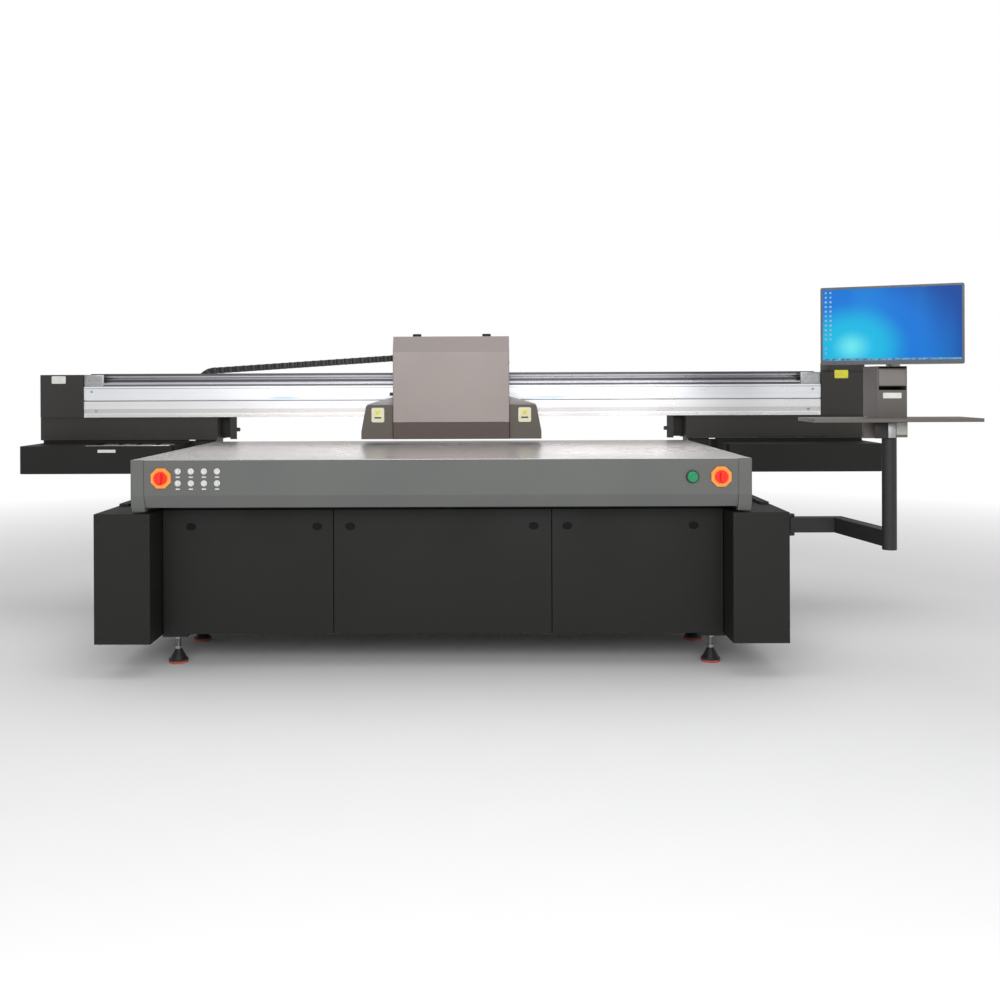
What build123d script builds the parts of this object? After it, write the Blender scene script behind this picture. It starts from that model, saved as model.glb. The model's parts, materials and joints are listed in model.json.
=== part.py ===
"""Flatbed UV printer: a fixed vacuum bed on a steel base, with a gantry that slides over it.

Millimetres. Z = 0 is the floor, +X is to the operator's right and +Y is away from the operator.
The origin is under the middle of the whole machine. Every piece is written to parts/NAME.step.
"""
import os
from math import cos, radians, sin

from build123d import *

os.makedirs("parts", exist_ok=True)

# ---- Driving dimensions -------------------------------------------------------------------
bed_width = 2650            # across the table top
bed_depth = 1470            # front to back of the table top
bed_height = 940            # floor to table top
bed_front = -818            # Y of the table's front edge
bed_plate = 60              # vacuum table, from its top to its underside
rim_width = 30              # solid border round the vacuum zones
front_recess = 60           # room for the valves below the table's front edge
zone_count = 8              # vacuum zones, one valve each
panel_height = 206          # table front panel
panel_crease = 152          # top edge to the fold of the front panel
panel_setback = 24          # how far the lower band of the panel leans back
sheet = 3                   # folded sheet metal
corner_width = 57           # corner trims of the table
corner_drop = 224           # top edge to the foot of a corner trim
gap = 3                     # plain gap between neighbouring covers
fit = 0.3                   # sliding clearance
pin_fit = 0.05              # radial clearance of a shaft in its bore

casing_inner = bed_width / 2 - 82   # half distance between the side casings
casing_width = 242
casing_length = bed_depth + 430
casing_gap = 231            # table top down to the top of a casing
ground_gap = 152            # floor to the underside of the body
door_setback = 180          # door faces behind the table's front edge
door_depth = 20
door_seam = 483             # half width of the middle door
hinge_height = 10           # door's lower edge up to its hinge line
lock_drop = 75              # door's upper edge down to its locks
tube = 80                   # frame tubes
post = 90                   # frame posts

foot_radius = 43
foot_x = casing_inner - 35
foot_rows = (308, bed_depth / 2, bed_depth - 308)   # behind the table's front edge

switch_x = bed_width / 2 - 132
switch_drop = 78            # table top down to the main switches
switch_size = 85
button_x = switch_x - 122
button_radius = 23
button_travel = 5
valve_x = -switch_x + 71     # first column of vacuum valves
valve_pitch = 56
valve_row_pitch = 51
valve_drop = 51             # table top down to the upper row

gantry_half = bed_width / 2 + 1012  # half the gantry's overall width
beam_half = gantry_half - 247
beam_setback = bed_depth + 74   # beam face behind the table's front edge, gantry parked at the back
beam_depth = 240
beam_lift = 135             # table top up to the beam's underside
beam_tall = 175
beam_wall = 10
cover_lift = 378            # table top up to the top of the end covers
housing_lift = 6            # table top up to the housings under the beam
housing_inner = bed_width / 2 + 6
rail_x = casing_inner + 137  # half distance between the Y rails
rail_width = 30
rail_tall = 32
rail_start = 300            # Y rails begin this far behind the table's front edge
rail_length = bed_depth + 110
station_inner = casing_inner + casing_width + 7
station_setback = bed_depth - 234
station_lift = -11
station_tall = 150

carriage_x = 12             # where the carriage stands at rest
head_setback = bed_depth - 368  # face of the head cover behind the table's front edge
head_half = 307
head_lift = 28              # table top up to the underside of the head unit
band_tall = 90              # dark band round the foot of the head cover
head_tall = 543             # head unit from underside to top
slope_tall = 84             # sloping strip at the top of the cover
slope_run = 45
lamp_half = 476             # half width over the lamp housings
lamp_slope = 26             # how far a lamp housing leans in
lamp_tall = 179

chain_thick = 36
chain_wide = 75
chain_radius = 112          # bend radius at the middle of the chain
chain_start = -290          # upper run leaves the carriage bracket here
chain_loop_x = -bed_width / 2 - 75

post_x = bed_width / 2 + 563    # console post
post_setback = -49
post_radius = 30
arm_x = casing_inner + casing_width + 105   # hinge of the console arm
arm_setback = 400
arm_drop = 301              # table top down to the top of the arm
arm_tall = 68
arm_wide = 60
shelf_x = post_x - 13
shelf_width = 694
shelf_deep = 234
shelf_setback = -199
shelf_lift = 172            # table top up to the shelf
shelf_thick = 15
box_width = 126
box_deep = 168
box_tall = 215
monitor_width = 556
monitor_tall = 325
monitor_turn = 25           # degrees the screen is turned towards the bed
monitor_x = post_x - 28
monitor_setback = -145
monitor_lift = 556          # table top up to the middle of the screen
bezel = 9

# ---- Worked out from them -----------------------------------------------------------------
bed_half = bed_width / 2
bed_back = bed_front + bed_depth
plate_under = bed_height - bed_plate
casing_outer = casing_inner + casing_width
casing_top = bed_height - casing_gap
casing_back = bed_front + casing_length
door_face = bed_front + door_setback
door_back = door_face + door_depth
door_bottom = ground_gap + gap
door_top = casing_top - gap
door_edge = casing_inner - gap
hinge_y = door_face + door_depth / 2
hinge_z = door_bottom + hinge_height
lock_z = door_top - lock_drop
panel_half = bed_half - corner_width
beam_face = bed_front + beam_setback
beam_back = beam_face + beam_depth
beam_bottom = bed_height + beam_lift
beam_top = beam_bottom + beam_tall
rail_top = casing_top + rail_tall
head_face = bed_front + head_setback
head_bottom = bed_height + head_lift
head_top = head_bottom + head_tall
band_top = head_bottom + band_tall
post_y = bed_front + post_setback
arm_y = bed_front + arm_setback
arm_top = bed_height - arm_drop
arm_bottom = arm_top - arm_tall
shelf_top = bed_height + shelf_lift


def span(x, y, z, mode=Mode.ADD):
    """A rectangular block that fills the spans x, y and z, each (from, to)."""
    middle = tuple((a + b) / 2 for a, b in (x, y, z))
    with Locations(middle):
        Box(abs(x[1] - x[0]), abs(y[1] - y[0]), abs(z[1] - z[0]), mode=mode)


def both(low, high):
    """The spans (low, high) in X on the left and on the right of the machine."""
    return ((-high, -low), (low, high))


def save(builder, name):
    builder.part.label = name
    export_step(builder.part, f"parts/{name}.step")


# ---- Base frame and feet ------------------------------------------------------------------
frame_front = bed_front + 220
frame_back = bed_front + bed_depth - 70
header_face = door_back + gap
header_thick = 5
rail_under = ground_gap
rail_over = ground_gap + tube
beam_under = plate_under - tube
post_out = casing_inner - 2
post_in = post_out - post
bracket_thick = 26
bracket_half = 56
lug_thick = 8
lug_half = 6.5
lug_inset = 40
pin_radius = 4
door_spans = ((-door_edge, -door_seam - gap / 2), (-door_seam + gap / 2, door_seam - gap / 2),
              (door_seam + gap / 2, door_edge))
pin_places = [x for low, high in door_spans for x in (low + lug_inset, high - lug_inset)]

with BuildPart() as base_frame:
    for side in both(post_in, post_out):
        span(side, (frame_front, frame_back), (rail_under, rail_over))
        span(side, (header_face + header_thick, frame_back), (beam_under, plate_under))
        for row in foot_rows:
            middle = bed_front + row
            span(side, (middle - post / 2, middle + post / 2), (rail_over, beam_under))
    for row in (frame_front + tube / 2, bed_front + foot_rows[1], frame_back - tube / 2):
        cross = (row - tube / 2, row + tube / 2)
        span((-post_in, post_in), cross, (rail_under, rail_over))
        span((-post_in, post_in), cross, (beam_under, plate_under))
    span((-post_in, post_in), (header_face + header_thick, frame_front), (beam_under, plate_under))
    span((-post_out, post_out), (header_face, header_face + header_thick),
         (lock_z + 35, beam_under + tube / 2))
    for x in (-door_seam, door_seam):
        span((x - 25, x + 25), (frame_front, frame_front + 50), (rail_over, beam_under))
    for x in (-foot_x, foot_x):
        for row in foot_rows:
            middle = bed_front + row
            span((x - bracket_half, x + bracket_half), (middle - bracket_half, middle + bracket_half),
                 (ground_gap - bracket_thick, ground_gap))
            with Locations((x, middle, ground_gap - bracket_thick / 2)):
                Cylinder(10 + fit, bracket_thick + 1, mode=Mode.SUBTRACT)
    for x in pin_places:
        span((x - lug_thick / 2, x + lug_thick / 2), (hinge_y, frame_front),
             (hinge_z - lug_half, hinge_z + lug_half))
        with Locations(Location((x, hinge_y, hinge_z), (0, 90, 0))):
            Cylinder(lug_half, lug_thick)
            Cylinder(pin_radius, 2 * lug_thick + 10)
save(base_frame, "base_frame")

feet = [(x, bed_front + row) for x in (-foot_x, foot_x) for row in foot_rows]
sole_thick = 10
cone_top = 60
stud_radius = 10

with BuildPart() as foot_soles:
    with BuildSketch() as sole:
        with Locations(*feet):
            Circle(foot_radius)
    extrude(amount=sole_thick)
save(foot_soles, "foot_soles")

with BuildPart() as foot_pads:
    with BuildSketch(Plane.XY.offset(sole_thick)):
        with Locations(*feet):
            Circle(foot_radius)
    extrude(amount=8)
    for x, y in feet:
        with BuildSketch(Plane.XY.offset(sole_thick + 8)):
            with Locations((x, y)):
                Circle(foot_radius - 3)
        with BuildSketch(Plane.XY.offset(cone_top)):
            with Locations((x, y)):
                Circle(stud_radius + 6)
        loft()
save(foot_pads, "foot_pads")

with BuildPart() as foot_studs:
    for x, y in feet:
        with Locations((x, y, (cone_top + ground_gap - 1) / 2)):
            Cylinder(stud_radius, ground_gap - 1 - cone_top)
    for z, thick in ((ground_gap - bracket_thick - 16, 16), (cone_top + 4, 12)):
        with BuildSketch(Plane.XY.offset(z)):
            with Locations(*feet):
                RegularPolygon(17, 6)
        extrude(amount=thick)
save(foot_studs, "foot_studs")

# ---- Side casings with the Y rails and Y motor tracks ---------------------------------------
fold = 6
with BuildPart() as left_casing:
    span((-casing_outer, -casing_inner), (bed_front, casing_back), (ground_gap, casing_top))
    fillet(left_casing.edges().filter_by(Axis.Z), fold)
    fillet(left_casing.faces().sort_by(Axis.Z)[-1].edges(), fold / 2)
    span((-casing_outer + sheet, -casing_inner - sheet), (bed_front + sheet, casing_back - sheet),
         (ground_gap, casing_top - sheet), mode=Mode.SUBTRACT)
with BuildPart() as side_casings:
    add(left_casing)
    mirror(left_casing.part, about=Plane.YZ)
save(side_casings, "side_casings")

y_rail_front = bed_front + rail_start
y_rail_back = y_rail_front + rail_length
with BuildPart() as y_rails:
    for x in (-rail_x, rail_x):
        with BuildSketch(Plane.XZ.offset(-y_rail_front)):
            with Locations((x, casing_top)):
                Rectangle(rail_width, rail_tall, align=(Align.CENTER, Align.MIN))
            for side in (-1, 1):
                with Locations((x + side * rail_width / 2, casing_top + rail_tall * 0.55)):
                    Circle(rail_tall * 0.16, mode=Mode.SUBTRACT)
        extrude(amount=-rail_length)
save(y_rails, "y_rails")

track_in = rail_x + 52
track_out = casing_outer - 12
track_thick = 12
with BuildPart() as y_magnet_tracks:
    for side in both(track_in, track_out):
        span(side, (y_rail_front, y_rail_back), (casing_top, casing_top + track_thick))
save(y_magnet_tracks, "y_magnet_tracks")

# ---- Vacuum table and its skirts --------------------------------------------------------------
plate_front = bed_front + sheet + 1
plate_half = bed_half - sheet - 1
plate_back = bed_back - sheet - 1
skin = 10
rib = 12
zone_width = (2 * (plate_half - rim_width) - (zone_count - 1) * rib) / zone_count
with BuildPart() as vacuum_table:
    span((-plate_half, plate_half), (plate_front, plate_back), (plate_under, bed_height))
    chamfer(vacuum_table.faces().sort_by(Axis.Z)[-1].edges(), 1.5)
    span((-plate_half, plate_half), (plate_front, plate_front + front_recess),
         (plate_under, bed_height - skin), mode=Mode.SUBTRACT)
    for n in range(zone_count):
        low = -plate_half + rim_width + n * (zone_width + rib)
        span((low, low + zone_width),
             (plate_front + front_recess + rim_width, plate_back - rim_width),
             (plate_under, bed_height - skin), mode=Mode.SUBTRACT)
save(vacuum_table, "vacuum_table")

switch_z = bed_height - switch_drop
valves = [(valve_x + column * valve_pitch, bed_height - valve_drop - row * valve_row_pitch)
          for row in range(2) for column in range(4)]
stem_radius = 4
switch_stem = 6
button_stem = 10
skirt_under = bed_height - panel_height
crease_z = bed_height - panel_crease
panel_top = bed_height - 2
with BuildPart() as table_front_panel:
    with BuildSketch(Plane.YZ.offset(-panel_half)):
        with BuildLine():
            Polyline((bed_front, panel_top), (bed_front, crease_z),
                     (bed_front + panel_setback, skirt_under),
                     (bed_front + panel_setback + 50, skirt_under),
                     (bed_front + panel_setback + 50, skirt_under + sheet),
                     (bed_front + panel_setback + sheet * 0.8, skirt_under + sheet),
                     (bed_front + sheet, crease_z + sheet * 0.2),
                     (bed_front + sheet, panel_top), close=True)
        make_face()
    extrude(amount=2 * panel_half)
    with BuildSketch(Plane.XZ.offset(-bed_front + 1)):
        with Locations(*valves):
            Circle(stem_radius + fit)
        with Locations((-switch_x, switch_z), (switch_x, switch_z)):
            Circle(switch_stem + fit)
        with Locations((button_x, switch_z)):
            Circle(button_stem + fit)
    extrude(amount=-(sheet + 2), mode=Mode.SUBTRACT)
save(table_front_panel, "table_front_panel")

trim_proud = 3
trim_deep = 60
trim_foot = bed_height - corner_drop
with BuildPart() as right_trim:
    with BuildSketch(Plane.YZ.offset(panel_half + 0.5)):
        with BuildLine():
            Polyline((bed_front - trim_proud, bed_height), (bed_front - trim_proud, crease_z),
                     (bed_front + panel_setback - trim_proud, trim_foot),
                     (bed_front + trim_deep, trim_foot), (bed_front + trim_deep, bed_height),
                     close=True)
        make_face()
    extrude(amount=corner_width - 0.5)
    outer_front = right_trim.edges().filter_by(Axis.Z).group_by(Axis.Y)[0].sort_by(Axis.X)[-1]
    fillet(outer_front, 8)
    with BuildSketch(Plane.YZ.offset(panel_half + sheet + 0.5)):
        with BuildLine():
            Polyline((bed_front, bed_height - sheet), (bed_front, crease_z),
                     (bed_front + panel_setback, trim_foot + sheet),
                     (bed_front + trim_deep, trim_foot + sheet),
                     (bed_front + trim_deep, bed_height - sheet), close=True)
        make_face()
    extrude(amount=corner_width - 2 * sheet - 0.5, mode=Mode.SUBTRACT)
    span((panel_half, bed_half - sheet - 0.5), (bed_front + sheet + 0.5, bed_front + trim_deep),
         (plate_under - 1, bed_height), mode=Mode.SUBTRACT)
with BuildPart() as table_skirts:
    add(right_trim)
    mirror(right_trim.part, about=Plane.YZ)
    for side in both(bed_half - sheet, bed_half):
        span(side, (bed_front + trim_deep + 0.5, bed_back), (skirt_under, panel_top))
    span((-bed_half + sheet + gap, bed_half - sheet - gap), (bed_back - sheet, bed_back),
         (skirt_under, panel_top))
save(table_skirts, "table_skirts")

# ---- Controls on the front panel ----------------------------------------------------------------
plate_thick = 8
with BuildPart() as switch_plates:
    with BuildSketch(Plane.XZ.offset(-bed_front)):
        with Locations((-switch_x, switch_z), (switch_x, switch_z)):
            RegularPolygon(switch_size / 2, 8, major_radius=False, rotation=22.5)
            Circle(switch_stem + fit, mode=Mode.SUBTRACT)
    extrude(amount=plate_thick)
save(switch_plates, "switch_plates")


def main_switch(x, name):
    """Rotary main switch: a fluted knob with a grip bar, on a shaft through the panel."""
    with BuildPart() as knob:
        with BuildSketch(Plane.XZ.offset(-bed_front + plate_thick + 0.5)):
            with Locations((x, switch_z)):
                Circle(28)
                with PolarLocations(30, 12):
                    Circle(4, mode=Mode.SUBTRACT)
        extrude(amount=12)
        with BuildSketch(Plane.XZ.offset(-bed_front + plate_thick + 12)):
            with Locations((x, switch_z)):
                SlotOverall(46, 16, rotation=90)
        extrude(amount=18)
        fillet(knob.faces().sort_by(Axis.Y)[0].edges(), 3)
        with BuildSketch(Plane.XZ.offset(-bed_front - 30)):
            with Locations((x, switch_z)):
                Circle(switch_stem)
        extrude(amount=30 + plate_thick + 1)
    save(knob, name)


main_switch(-switch_x, "left_main_switch")
main_switch(switch_x, "right_main_switch")

with BuildPart() as start_button:
    with BuildSketch(Plane.XZ.offset(-bed_front + button_travel + 1)):
        with Locations((button_x, switch_z)):
            Circle(button_radius)
    extrude(amount=11)
    fillet(start_button.faces().sort_by(Axis.Y)[0].edges(), 4)
    with BuildSketch(Plane.XZ.offset(-bed_front - 25)):
        with Locations((button_x, switch_z)):
            Circle(button_stem)
    extrude(amount=25 + button_travel + 2)
save(start_button, "start_button")

for number, (x, z) in enumerate(valves, start=1):
    with BuildPart() as valve_knob:
        with BuildSketch(Plane.XZ.offset(-bed_front + 1)):
            with Locations((x, z)):
                Circle(7)
        extrude(amount=4)
        with BuildSketch(Plane.XZ.offset(-bed_front + 5)):
            with Locations((x, z + 2)):
                SlotOverall(18, 6, rotation=90)
        extrude(amount=8)
        with BuildSketch(Plane.XZ.offset(-bed_front - 28)):
            with Locations((x, z)):
                Circle(stem_radius)
        extrude(amount=30)
    save(valve_knob, f"valve_knob_{number}")

# ---- Doors, their pins and their locks ------------------------------------------------------------
lock_hole = 11
lock_places = ((-1114, -555), (-409, 403), (552, 1110))
door_names = ("left_door", "middle_door", "right_door")
door_skin = 2
flange = 2
for name, (low, high), locks in zip(door_names, door_spans, lock_places):
    with BuildPart() as door:
        span((low, high), (door_face, door_back), (door_bottom, door_top))
        fillet(door.faces().sort_by(Axis.Y)[0].edges(), 1.5)
        span((low + flange, high - flange), (door_face + door_skin, door_back),
             (door_bottom + flange, door_top - flange), mode=Mode.SUBTRACT)
        for x in (low + lug_inset, high - lug_inset):
            span((x - lug_thick, x + lug_thick), (door_face + door_skin, door_back),
                 (door_bottom, door_bottom + flange), mode=Mode.SUBTRACT)
            for ear in (x - lug_thick - 4, x + lug_thick + 1):
                span((ear, ear + 3), (door_face + 1, door_back - 1),
                     (door_bottom + 1, hinge_z + 9))
            with Locations(Location((x, hinge_y, hinge_z), (0, 90, 0))):
                Cylinder(pin_radius + pin_fit, 4 * lug_thick, mode=Mode.SUBTRACT)
        with BuildSketch(Plane.XZ.offset(-door_face + 1)):
            with Locations(*[(x, lock_z) for x in locks]):
                Circle(lock_hole)
        extrude(amount=-(door_skin + 2), mode=Mode.SUBTRACT)
    save(door, name)

tongue_y = header_face + header_thick + 2
tongue_thick = 4
tongue_long = 55
lock_names = [f"{name}_lock_{side}" for name in door_names for side in ("a", "b")]
for name, x in zip(lock_names, [x for pair in lock_places for x in pair]):
    with BuildPart() as lock:
        with BuildSketch(Plane.XZ.offset(-door_face)):
            with Locations((x, lock_z)):
                Ellipse(21, 16)
        extrude(amount=4)
        fillet(lock.faces().sort_by(Axis.Y)[0].edges(), 2)
        with BuildSketch(Plane.XZ.offset(-door_face + 3)):
            with Locations((x, lock_z)):
                SlotOverall(24, 7)
        extrude(amount=3)
        with BuildSketch(Plane.XZ.offset(-door_face)):
            with Locations((x, lock_z)):
                Circle(lock_hole - fit)
        extrude(amount=-(tongue_y - door_face))
        with BuildSketch(Plane.XZ.offset(-tongue_y)):
            with Locations((x + tongue_long / 2 - 9, lock_z)):
                SlotOverall(tongue_long + 9, 18)
        extrude(amount=-tongue_thick)
    save(lock, name)

# ---- Rear panels, screwed to the frame ---------------------------------------------------------------
rear_face = frame_back + 1
with BuildPart() as rear_panels:
    for low, high in door_spans:
        span((low, high), (rear_face, rear_face + door_depth), (door_bottom, casing_top + 20))
    fillet(rear_panels.faces().filter_by(Axis.Y).sort_by(Axis.Y)[-3:].edges(), 1.5)
    for low, high in door_spans:
        span((low + flange, high - flange), (rear_face, rear_face + door_depth - door_skin),
             (door_bottom + flange, casing_top + 20 - flange), mode=Mode.SUBTRACT)
        with BuildSketch(Plane.XZ.offset(-rear_face)):
            with Locations(((low + high) / 2, door_bottom + 120)):
                with GridLocations(0, 26, 1, 6):
                    SlotOverall(260, 8)
        extrude(amount=-(door_depth + 1), mode=Mode.SUBTRACT)
save(rear_panels, "rear_panels")

# ---- Inside the base: blower and electrical cabinet --------------------------------------------------
blower_y = bed_front + bed_depth - 470
with BuildPart() as vacuum_blower:
    with Locations(Location((0, blower_y, rail_over + 190), (90, 0, 0))):
        Cylinder(170, 140)
        Cylinder(120, 300)
    span((-130, 130), (blower_y - 120, blower_y + 120), (rail_over, rail_over + 30))
    with Locations((0, blower_y, (rail_over + 340 + beam_under) / 2)):
        Cylinder(38, beam_under - rail_over - 340 + 60)
save(vacuum_blower, "vacuum_blower")

cabinet_x = (-1080, -520)
cabinet_y = (bed_front + 800, bed_front + 1060)
with BuildPart() as electrical_cabinet:
    span(cabinet_x, cabinet_y, (rail_over, rail_over + 520))
    fillet(electrical_cabinet.edges().filter_by(Axis.Z), 5)
    span((cabinet_x[0] + sheet, cabinet_x[1] - sheet), (cabinet_y[0] + sheet, cabinet_y[1]),
         (rail_over + sheet, rail_over + 520 - sheet), mode=Mode.SUBTRACT)
    span((cabinet_x[0] + 40, cabinet_x[1] - 40), (cabinet_y[0] + sheet, cabinet_y[0] + 120),
         (rail_over + sheet, rail_over + 460))
save(electrical_cabinet, "electrical_cabinet")

# ---- Gantry ---------------------------------------------------------------------------------------
groove_z = bed_height + 230
with BuildPart() as gantry_beam:
    with BuildSketch(Plane.YZ.offset(-beam_half)):
        with Locations(((beam_face + beam_back) / 2, (beam_bottom + beam_top) / 2)):
            Rectangle(beam_depth, beam_tall)
        with Locations((beam_face, groove_z)):
            Rectangle(16, 10, mode=Mode.SUBTRACT)
        cell = (beam_depth - 3 * beam_wall) / 2
        for y in (beam_face + beam_wall + cell / 2, beam_back - beam_wall - cell / 2):
            with Locations((y, (beam_bottom + beam_top) / 2)):
                Rectangle(cell, beam_tall - 2 * beam_wall, mode=Mode.SUBTRACT)
    extrude(amount=2 * beam_half)
save(gantry_beam, "gantry_beam")

x_rail_wide = 23
x_rail_tall = 18
low_rail_tall = 15
low_rail_deep = 14
upper_rail_y = beam_face + 17
x_rail_half = beam_half - 20
lower_rail_z = beam_bottom + 2
with BuildPart() as x_rails:
    span((-x_rail_half, x_rail_half), (upper_rail_y - x_rail_wide / 2, upper_rail_y + x_rail_wide / 2),
         (beam_top, beam_top + x_rail_tall))
    span((-x_rail_half, x_rail_half), (beam_face - low_rail_deep, beam_face),
         (lower_rail_z, lower_rail_z + low_rail_tall))
save(x_rails, "x_rails")

track_y = beam_face + 56
track_deep = 60
track_top = bed_height + 383
slot_low = bed_height + 350
slot_tall = 12
track_pieces = 12
track_pitch = 2 * x_rail_half / track_pieces
with BuildPart() as x_magnet_track:
    for n in range(track_pieces):
        with BuildSketch(Plane.YZ.offset(-x_rail_half + n * track_pitch + 0.5)):
            with Locations((track_y + track_deep / 2, (beam_top + track_top) / 2)):
                Rectangle(track_deep, track_top - beam_top)
            with Locations((track_y, slot_low)):
                Rectangle(track_deep - 12, slot_tall, align=(Align.MIN, Align.MIN),
                          mode=Mode.SUBTRACT)
        extrude(amount=track_pitch - 1)
save(x_magnet_track, "x_magnet_track")

cover_top = bed_height + cover_lift
housing_bottom = bed_height + housing_lift
cover_face = beam_face - 8
with BuildPart() as right_cover:
    span((beam_half + 2, gantry_half), (cover_face, beam_back), (beam_bottom, cover_top))
    fillet(right_cover.edges().filter_by(Axis.Z).group_by(Axis.X)[-1], fold)
    fillet(right_cover.faces().sort_by(Axis.Z)[-1].edges().filter_by(Axis.X), fold / 2)
    span((beam_half + 2 + sheet, gantry_half - sheet), (cover_face + sheet, beam_back - sheet),
         (beam_bottom, cover_top - sheet), mode=Mode.SUBTRACT)
with BuildPart() as gantry_end_covers:
    add(right_cover)
    mirror(right_cover.part, about=Plane.YZ)
save(gantry_end_covers, "gantry_end_covers")

column_front = beam_face + 36
column_back = beam_back - 34
web_inner = casing_inner + 19
web_y = (column_back - 80, column_back - 60)
with BuildPart() as beam_housings:
    for side in both(housing_inner, gantry_half):
        span(side, (beam_face, beam_back), (housing_bottom, beam_bottom - 1))
        span((side[0] + sheet, side[1] - sheet), (beam_face + sheet, beam_back - sheet),
             (housing_bottom, beam_bottom - 1), mode=Mode.SUBTRACT)
    for side in both(housing_inner - 1, housing_inner + sheet + 1):
        span(side, (web_y[0] - 1, web_y[1] + 1), (housing_bottom, beam_bottom),
             mode=Mode.SUBTRACT)
save(beam_housings, "beam_housings")

block_top = rail_top + 14
block_half = 45
block_long = 120
block_rows = (bed_front + bed_depth + 130, bed_front + bed_depth + 330)
with BuildPart() as y_bearing_blocks:
    for x in (-rail_x, rail_x):
        for y in block_rows:
            span((x - block_half, x + block_half), (y - block_long / 2, y + block_long / 2),
                 (casing_top + 6, block_top))
            span((x - rail_width / 2 - fit, x + rail_width / 2 + fit), (y - block_long, y + block_long),
                 (casing_top, rail_top + fit), mode=Mode.SUBTRACT)
save(y_bearing_blocks, "y_bearing_blocks")

saddle_plate = 26
saddle_in = rail_x - block_half
saddle_out = casing_outer - 10
with BuildPart() as saddles:
    for side in both(saddle_in, saddle_out):
        span(side, (block_rows[0] - block_long / 2, block_rows[1] + block_long / 2),
             (block_top, block_top + saddle_plate))
    for side in both(saddle_in + 12, saddle_out - 10):
        span(side, (column_front, column_back), (block_top + saddle_plate, beam_bottom))
    for side in both(web_inner, saddle_in + 12):
        span(side, web_y, (bed_height + 12, beam_bottom))
    for side in both(track_in, track_out):
        span(side, (block_rows[0], block_rows[1]), (casing_top + track_thick + 1.5, block_top))
save(saddles, "saddles")

station_top = bed_height + station_lift
station_bottom = station_top - station_tall
station_face = bed_front + station_setback
station_back = beam_back + 16
tray_x = (-station_inner - 478, -station_inner - 25)
tray_y = (station_face + 14, beam_face - 14)
with BuildPart() as station_boxes:
    for side in both(station_inner, gantry_half - 4):
        span(side, (station_face, station_back), (station_bottom, station_top))
    fillet(station_boxes.edges().filter_by(Axis.Z).group_by(Axis.Y)[0], 25)
    for side in both(station_inner, gantry_half - 4):
        span((side[0] + sheet, side[1] - sheet), (station_face + sheet, station_back - sheet),
             (station_bottom, station_top - sheet), mode=Mode.SUBTRACT)
    span((tray_x[0] - 1, tray_x[1] + 1), (tray_y[0] - 1, tray_y[1] + 1),
         (station_top - 2 * sheet, station_top + 1), mode=Mode.SUBTRACT)
save(station_boxes, "station_boxes")

cap_rows = 3
cap_columns = 4
head_pitch_x = 130
head_pitch_y = 88
tray_middle = ((tray_x[0] + tray_x[1]) / 2, (tray_y[0] + tray_y[1]) / 2)
with BuildPart() as capping_station:
    span(tray_x, tray_y, (station_top - 40, station_top - 12))
    with Locations((tray_middle[0], tray_middle[1], station_top - 9)):
        with GridLocations(head_pitch_x * 0.8, head_pitch_y * 0.9, cap_columns, cap_rows):
            Box(78, 44, 14)
            Box(62, 28, 20, mode=Mode.SUBTRACT)
    span((tray_x[0] + 6, tray_x[1] - 6), (tray_y[0] + 6, tray_y[1] - 6),
         (station_top - 40, station_top - 30), mode=Mode.SUBTRACT)
save(capping_station, "capping_station")

sensor_in = bed_half - 104
sensor_out = sensor_in + 37
sensor_z = bed_height + 63
with BuildPart() as sensor_brackets:
    for side in both(sensor_in, sensor_out):
        span(side, (beam_face + 4, beam_face + 10), (bed_height + 9, beam_bottom))
    for x in (-sensor_in, sensor_in):
        with Locations(Location((x, beam_face + 24, sensor_z), (0, 90, 0))):
            Cylinder(11, 28)
        span((x - 12, x + 12), (beam_face + 10, beam_face + 24), (sensor_z - 9, sensor_z + 9))
save(sensor_brackets, "sensor_brackets")

tray_base = bed_height + 150
chain_y = beam_back + 46
with BuildPart() as chain_tray:
    half = chain_wide / 2 + 6
    with BuildSketch(Plane.YZ.offset(-beam_half)):
        with Locations((chain_y, tray_base)):
            Rectangle(2 * half, 46, align=(Align.CENTER, Align.MIN))
        with Locations((chain_y, tray_base + sheet)):
            Rectangle(2 * half - 2 * sheet, 60, align=(Align.CENTER, Align.MIN), mode=Mode.SUBTRACT)
    extrude(amount=beam_half + 300)
    for x in (-1900, -1200, -500, 200):
        span((x - 30, x + 30), (beam_back, chain_y - half), (tray_base, tray_base + 30))
save(chain_tray, "chain_tray")

# ---- Energy chain: loop behind the beam and upper run to the carriage --------------------------------
loop_low = tray_base + sheet + 8 + chain_thick / 2
loop_high = loop_low + 2 * chain_radius
loop_middle = (loop_low + loop_high) / 2
with BuildPart() as chain_loop:
    with BuildSketch(Plane.XZ.offset(-(chain_y - chain_wide / 2))):
        with Locations((chain_loop_x, loop_middle)):
            Circle(chain_radius + chain_thick / 2)
            Circle(chain_radius - chain_thick / 2, mode=Mode.SUBTRACT)
        with Locations((chain_loop_x, loop_middle)):
            Rectangle(400, 600, align=(Align.MIN, Align.CENTER), mode=Mode.SUBTRACT)
    extrude(amount=-chain_wide)
save(chain_loop, "chain_loop")

chain_high = bed_height + 475
with BuildPart() as chain_upper_run:
    with BuildSketch(Plane.XZ.offset(-(chain_y - chain_wide / 2))):
        with BuildLine():
            Polyline((chain_start, chain_high - chain_thick / 2),
                     (chain_start, chain_high + chain_thick / 2),
                     (chain_loop_x + 0.5, loop_high + chain_thick / 2),
                     (chain_loop_x + 0.5, loop_high - chain_thick / 2), close=True)
        make_face()
    extrude(amount=-chain_wide)
save(chain_upper_run, "chain_upper_run")

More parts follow.
